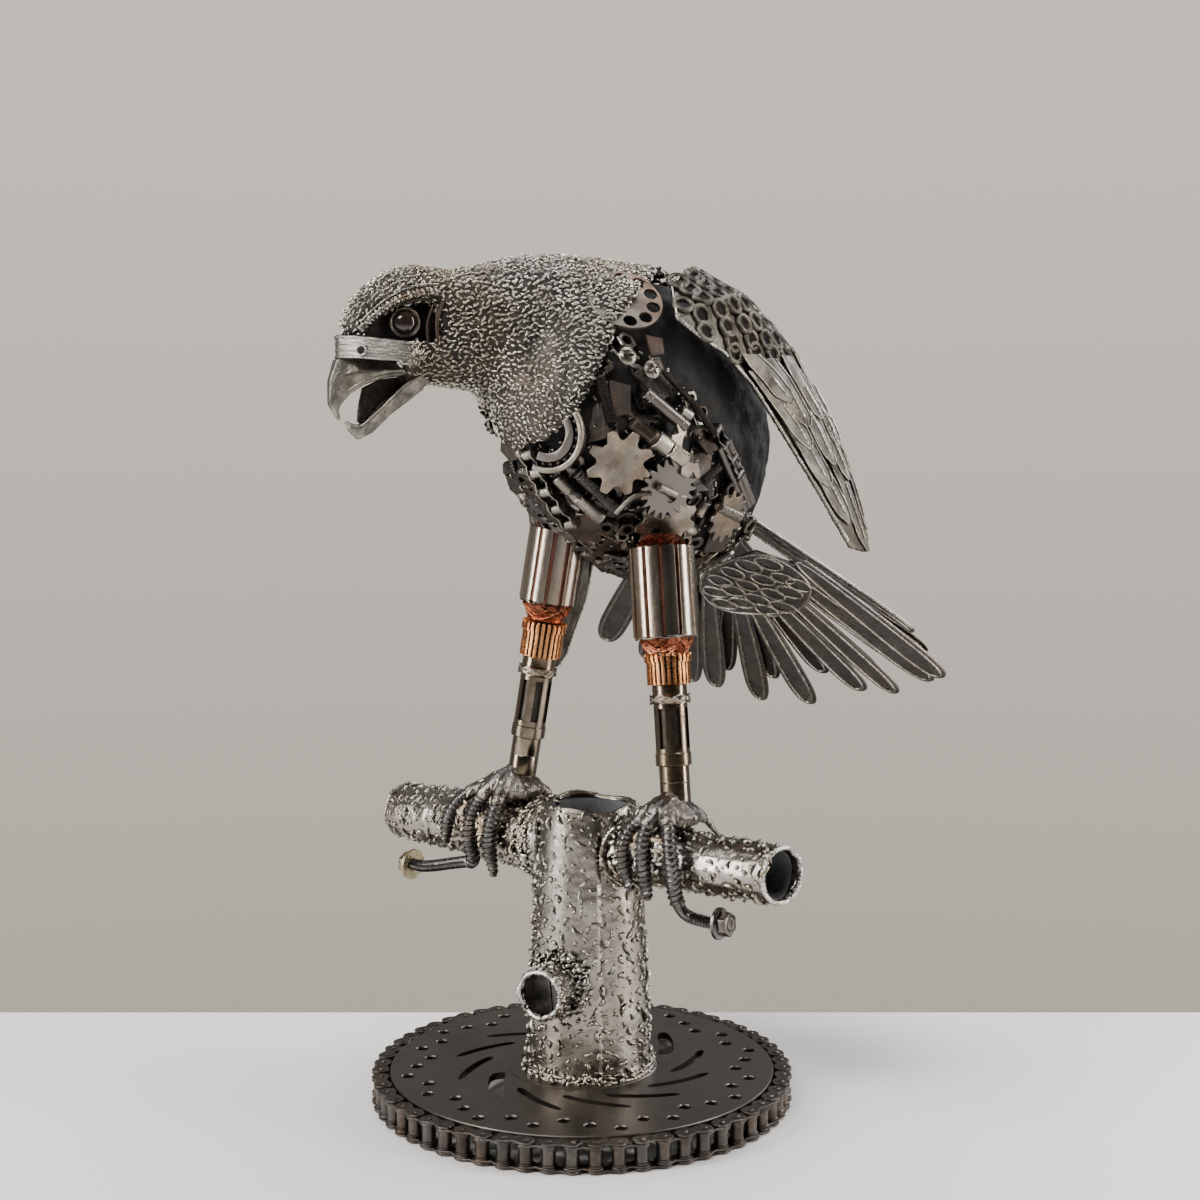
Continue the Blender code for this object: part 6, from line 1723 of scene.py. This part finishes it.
ROOF_ROOT = Vector((0, 0.135, 0.450 + FLOOR))
ROOF_DROOP, ROOF_ROLL, ROOF_TWIST = math.radians(22.5), math.radians(28), math.radians(14)
roof = bmesh.new()
for turn, end, rise in ((-37, 0.205, 0.0), (-14, 0.190, 0.0035), (14, 0.190, 0.0), (37, 0.213, 0.0035)):
    a, sign = math.radians(turn), math.copysign(1, turn)
    ridge = Vector((0, math.cos(ROOF_DROOP), -math.sin(ROOF_DROOP)))
    across = Vector((sign * math.cos(ROOF_ROLL), 0, -math.sin(ROOF_ROLL)))
    normal = ridge.cross(across) * -sign
    normal = -normal if normal.z < 0 else normal
    direction = ridge * math.cos(a) + across * abs(math.sin(a))
    outer = direction.cross(normal) * sign
    normal = normal * math.cos(ROOF_TWIST) - outer * math.sin(ROOF_TWIST)
    root = ROOF_ROOT + normal * rise
    blade(roof, seams, root + direction * 0.050, root + direction * end, normal, 0.0125, 0.0022)
hang(roof, "tail_roof", tail_steel, tuple(f"tail_roof_{i + 1}" for i in range(4)), 30, False)

COVERTS = ((0.009, 0.037), (-0.009, 0.054), (-0.018, 0.076), (-0.012, 0.091), (0.004, 0.098), (0.043, 0.095),
           (0.067, 0.088), (0.084, 0.073), (0.097, 0.052), (0.087, 0.024), (0.064, 0.012))
fan_place = Matrix((FAN_BACK, X, -FAN_NORMAL)).transposed().to_4x4()
fan_place.translation = FAN_ROOT - FAN_NORMAL * 0.0040
panel = sheet([(y, x) for x, y in COVERTS], 0.0026, 0.0005)
hang(panel, "tail_panel", tail_steel, ("tail_coverts",), 30, place=fan_place)
rim = rounded([fan_place @ Vector((y, x, 0.0010)) for x, y in COVERTS], 2, True)
weld_line(seams, rim, 0.0016, 0.0030, cyclic=True)
cells = [(0.012, 0.052), (0.030, 0.040), (0.050, 0.030), (0.070, 0.026), (-0.001, 0.068), (0.018, 0.064),
         (0.036, 0.056), (0.055, 0.047), (0.074, 0.044), (0.000, 0.084), (0.018, 0.081), (0.036, 0.075),
         (0.055, 0.066), (0.072, 0.062), (0.038, 0.089), (0.056, 0.083), (0.085, 0.052)]
for x, b in cells:
    wide, long = chance.uniform(0.0088, 0.0112), chance.uniform(0.0066, 0.0082)
    oval = [fan_place @ Vector((b + long * math.sin(t), x + wide * math.cos(t) + 0.3 * long * math.sin(t),
                                0.0019)) for t in np.linspace(0, TAU, 25)[:-1]]
    weld_line(seams, oval, 0.0016, 0.0036, cyclic=True)
hang(seams, "tail_seams", tail_bright, smooth=180, closed=False)
print("tail dressed")

# %% [markdown]
# The face is the part that people look at first. The brows are lengths of screw thread, the eyes are
# domes set in a dark ring, and a grooved band joins the beak to the head like a cere.

# %% Head
BROW = ((0.1805, 0.5585, 0.0195), (0.1715, 0.5680, 0.0245), (0.1600, 0.5770, 0.0277),
        (0.1440, 0.5835, 0.0298), (0.1285, 0.5845, 0.0315))
SOCKET = ((0.1700, 0.5505), (0.1775, 0.5590), (0.1590, 0.5735), (0.1390, 0.5795), (0.1290, 0.5775),
          (0.1270, 0.5660), (0.1220, 0.5560), (0.1300, 0.5490))
for name, sign in (("left", 1), ("right", -1)):
    look = (HEAD_SIDE * sign + HEAD_AHEAD * 0.12).normalized()
    place = stand(head(0.1490, 0.5640, sign * 0.0170), look)
    ring_piece = lathe(((0, -0.004), (0.0108, -0.004), (0.0112, 0.0040), (0.0108, 0.0064), (0.0098, 0.0069),
                        (0.0090, 0.0060), (0.0086, 0.0050), (0, 0.0050)), 44)
    hang(ring_piece, f"eye_ring_{name}", scrap_dark, (f"eye_{name}",), 30, place=place)
    bright = lathe(((0.0090, 0.0056), (0.0099, 0.0068), (0.0102, 0.0072), (0.0098, 0.0075),
                    (0.0088, 0.0064), (0.0082, 0.0058), (0.0090, 0.0056)), 44)
    hang(bright, f"eye_rim_{name}", scrap_steel, (), 60, place=place)
    dome = lathe([(0.0078 * math.sin(t), 0.0046 + 0.0044 * math.cos(t))
                  for t in np.linspace(0.0, math.pi / 2, 9)] + [(0, 0.0046)], 40)
    hang(dome, f"eye_dome_{name}", eye_stone, (), 60, place=place)
    line = rounded([head(t, h, sign * s) for t, h, s in BROW], 2)
    spring = tube(bmesh.new(), resampled(line, 0.001), 0.0018, 10)
    wound(spring, line, 0.0023, 0.00105, 0.0031)
    hang(spring, f"brow_spring_{name}", scrap_steel, (f"brow_{name}",), 50, False)
    upper = [head(t - 0.001, h + 0.0052, sign * (s - 0.0022)) for t, h, s in BROW]
    row = weld_line(bmesh.new(), rounded(upper, 2), 0.0017, 0.0030)
    hang(row, f"brow_weld_{name}", weld_bright, (), 180, False)
    lining = sheet(SOCKET, 0.0016)
    inset = Matrix((HEAD_AHEAD, UP, HEAD_SIDE)).transposed().to_4x4()
    inset.translation = head(0, 0, sign * 0.0188)
    hang(lining, f"socket_lining_{name}", scrap_black, (), 30, place=inset)
    struts = bmesh.new()
    for (t0, h0, s0), (t1, h1, s1) in (((0.1275, 0.5500, 0.0280), (0.1250, 0.5790, 0.0320)),
                                       ((0.1335, 0.5500, 0.0240), (0.1300, 0.5780, 0.0280))):
        middle_point = head((t0 + t1) / 2 + 0.0035, (h0 + h1) / 2, sign * (s0 + s1) / 2)
        curve_line = rounded([head(t0, h0, sign * s0), middle_point, head(t1, h1, sign * s1)], 3)
        tube(struts, curve_line, 0.0013)
    hang(struts, f"socket_struts_{name}", scrap_dark, (), 50, False)

BAND_REAR, BAND_LOW, BAND_LEAN, BAND_TALL, BAND_GROWS = 0.143, 0.5366, 0.068, 0.0129, 0.042
BAND = ((0.1430, 0.0300), (0.1640, 0.0278), (0.1790, 0.0225), (0.1880, 0.0150), (0.1925, 0.0060))
hang(skin("nose_band", 0.0007, 2), "band", band_steel, ("nose_band",), 50)
ridges = bmesh.new()
around = [(t, s) for t, s in BAND] + [(t, -s) for t, s in BAND[::-1]]
for share, radius in ((0.04, 0.0012), (0.34, 0.0010), (0.64, 0.0010), (0.96, 0.0013)):
    line = rounded([head(t + 0.0003, BAND_LOW + BAND_LEAN * (t - BAND_REAR)
                         + share * (BAND_TALL + BAND_GROWS * (t - BAND_REAR)), s) for t, s in around], 2)
    line = resampled(line, 0.0015)
    into(ridges, tube_mesh(line, [radius * (0.9 + 0.3 * noise.noise(p * 200)) for p in line], 8))
hang(ridges, "band_ridges", band_steel, (), 60, False)
ends = bmesh.new()
for sign in (1, -1):
    rear = [head(0.1425, h, sign * 0.0298) for h in (0.5375, 0.5410, 0.5445, 0.5480)]
    into(ends, splash(rear, [HEAD_SIDE * sign] * 4, 46, (0.0022, 0.0022, 0.0014), 0.0015))
    under = [head(t, 0.5362, sign * s) for t, s in ((0.1450, 0.0296), (0.1500, 0.0290), (0.1550, 0.0284))]
    into(ends, splash(under, [HEAD_SIDE * sign] * 3, 24, (0.0020, 0.0020, 0.0010), 0.0013))
hang(ends, "band_weld", weld_bright, (), 180, False)
for name, sign in (("left", 1), ("right", -1)):
    nostril = stand(head(0.1800, 0.5445, sign * 0.0226), HEAD_SIDE * sign + HEAD_AHEAD * 0.75)
    rim_piece = washer(0.0040, 0.0026, 0.0030, 24)
    hang(rim_piece, f"nostril_rim_{name}", band_steel, (), 40, place=nostril)
    # A near black disc fills each nostril's hole: painted shade.
    dark = round_bar(0.0027, -0.001, 0.0006, 20)
    hang(dark, f"nostril_{name}", scrap_black, (), 40, place=nostril)
hang(skin("upper_beak", 0.0008, 8), "beak_upper", beak_steel, ("upper_beak",), 60)
hang(skin("lower_beak", 0.0006, 1), "beak_lower", beak_steel, ("lower_beak",), 60)
hang(skin("mouth_plate", 0.0006, 1), "tongue_plate", scrap_dark, ("mouth_plate",), 60)
LOWER_LIP = ((0.1320, 0.5310, 0.0180), (0.1470, 0.5225, 0.0150), (0.1600, 0.5090, 0.0118),
             (0.1700, 0.4995, 0.0092),
             (0.1770, 0.4925, 0.0066), (0.1835, 0.4935, 0.0034), (0.1868, 0.4958, 0.0010))
UPPER_LIP = ((0.1435, 0.53075, 0.0150), (0.1630, 0.5286, 0.0138), (0.1780, 0.5236, 0.0115),
             (0.1865, 0.5170, 0.0090))
edges = bmesh.new()
ridge = [head(t, h) for t, h in ((0.1748, 0.5195), (0.1775, 0.5080), (0.1788, 0.4965))]
weld_line(edges, rounded(ridge, 2), 0.0011, 0.0016)
for sign in (1, -1):
    for lip, share, radius in ((LOWER_LIP, 1.0, 0.0011), (UPPER_LIP, 0.97, 0.0009)):
        line = rounded([head(t, h, sign * half * share) for t, h, half in lip], 2)
        tube(edges, resampled(line, 0.001), radius)
hang(edges, "beak_edges", beak_steel, (), 60, False)
print("head dressed")

# %% [markdown]
# The floor, the light and the camera aren't part of the work. The camera stands at the place that was
# solved from the ellipse of the base.

# %% Stage, light and camera
LOOK_AZIMUTH = math.radians(38.0)
LOOK_DOWN = math.radians(4.87)
AWAY = Vector((-math.sin(LOOK_AZIMUTH), math.cos(LOOK_AZIMUTH), 0))
ACROSS = Vector((math.cos(LOOK_AZIMUTH), math.sin(LOOK_AZIMUTH), 0))
EYE = Vector((0.7974, -0.9988, 0.4600))
AIM = Vector((0.0, 0.03, 0.30))
LENS, SENSOR = 52.8, 36.0
FLOOR_WIDE, FLOOR_NEAR, FLOOR_FAR = 3.0, 4.0, 0.184
FLOOR_COLOUR = (0.86, 0.85, 0.835, 1)
BACKDROP_LOW, BACKDROP_HIGH = (0.54, 0.495, 0.425, 1), (0.82, 0.745, 0.65, 1)
ROOM_COLOUR = (0.62, 0.585, 0.54, 1)


def stage():
    bm = bmesh.new()
    corners = ((-FLOOR_WIDE, -FLOOR_NEAR), (FLOOR_WIDE, -FLOOR_NEAR), (FLOOR_WIDE, FLOOR_FAR),
               (-FLOOR_WIDE, FLOOR_FAR))
    bm.faces.new([bm.verts.new(ACROSS * x + AWAY * y + UP * (FLOOR - 0.0002)) for x, y in corners])
    mesh = bpy.data.meshes.new("floor")
    bm.to_mesh(mesh)
    bm.free()
    floor = bpy.data.objects.new("floor", mesh)
    bpy.context.scene.collection.objects.link(floor)
    made = bpy.data.materials.new("floor")
    made.use_nodes = True
    shader = made.node_tree.nodes["Principled BSDF"]
    shader.inputs["Base Color"].default_value = FLOOR_COLOUR
    shader.inputs["Roughness"].default_value = 0.5
    mesh.materials.append(made)


def lamp(name, right, away, high, size, power, colour=(1, 1, 1)):
    light = bpy.data.lights.new(name, "AREA")
    light.shape = "RECTANGLE"
    light.size, light.size_y = size
    light.energy = power
    light.color = colour
    holder = bpy.data.objects.new(name, light)
    holder.location = AIM + ACROSS * right + AWAY * away + UP * (high - AIM.z)
    holder.rotation_euler = (AIM - holder.location).to_track_quat("-Z", "Y").to_euler()
    bpy.context.scene.collection.objects.link(holder)


stage()
camera = bpy.data.cameras.new("camera")
camera.lens, camera.sensor_width = LENS, SENSOR
holder = bpy.data.objects.new("camera", camera)
look = AWAY * math.cos(LOOK_DOWN) - UP * math.sin(LOOK_DOWN)
holder.location = EYE
holder.rotation_euler = look.to_track_quat("-Z", "Y").to_euler()
bpy.context.scene.collection.objects.link(holder)
bpy.context.scene.camera = holder

lamp("window", -1.45, -0.55, 0.85, (0.40, 1.5), 36, (1.0, 0.985, 0.96))
lamp("side", 1.50, -0.20, 0.75, (0.30, 1.5), 26, (1.0, 0.97, 0.93))
lamp("key", -0.70, -1.25, 1.55, (0.6, 0.45), 20, (1.0, 0.985, 0.96))
lamp("top", 0.10, 0.30, 1.80, (1.2, 0.5), 18)
lamp("rim", 1.00, 1.10, 1.00, (0.5, 1.0), 13, (0.98, 0.985, 1.0))
world = bpy.data.worlds.new("room")
world.use_nodes = True
room = world.node_tree
direction = room.nodes.new("ShaderNodeTexCoord")
seen = room.nodes["Background"]
# The backdrop the camera sees is painted darker low down and lighter high up: a painted fall of light on the
# wall.
height = room.nodes.new("ShaderNodeSeparateXYZ")
climb = node(room, "ShaderNodeMapRange", From_Min=-0.30, From_Max=0.15)
backdrop = node(room, "ShaderNodeMix", (("data_type", "RGBA"),))
backdrop.inputs[6].default_value = BACKDROP_LOW
backdrop.inputs[7].default_value = BACKDROP_HIGH
ahead = node(room, "ShaderNodeVectorMath", (("operation", "DOT_PRODUCT"),))
ahead.inputs[1].default_value = AWAY
glow = node(room, "ShaderNodeMapRange", From_Min=-0.9, From_Max=0.9, To_Min=0.05, To_Max=0.50)
felt = node(room, "ShaderNodeBackground", Color=ROOM_COLOUR)
ray = room.nodes.new("ShaderNodeLightPath")
choose, leave = room.nodes.new("ShaderNodeMixShader"), room.nodes["World Output"]
connect(room, (direction, "Generated", height, "Vector"), (height, "Z", climb, "Value"),
        (climb, "Result", backdrop, 0), (backdrop, 2, seen, "Color"), (direction, "Generated", ahead, 0),
        (ahead, "Value", glow, "Value"), (glow, "Result", felt, "Strength"),
        (ray, "Is Camera Ray", choose, "Fac"), (felt, "Background", choose, 1),
        (seen, "Background", choose, 2), (choose, "Shader", leave, "Surface"))
bpy.context.scene.world = world
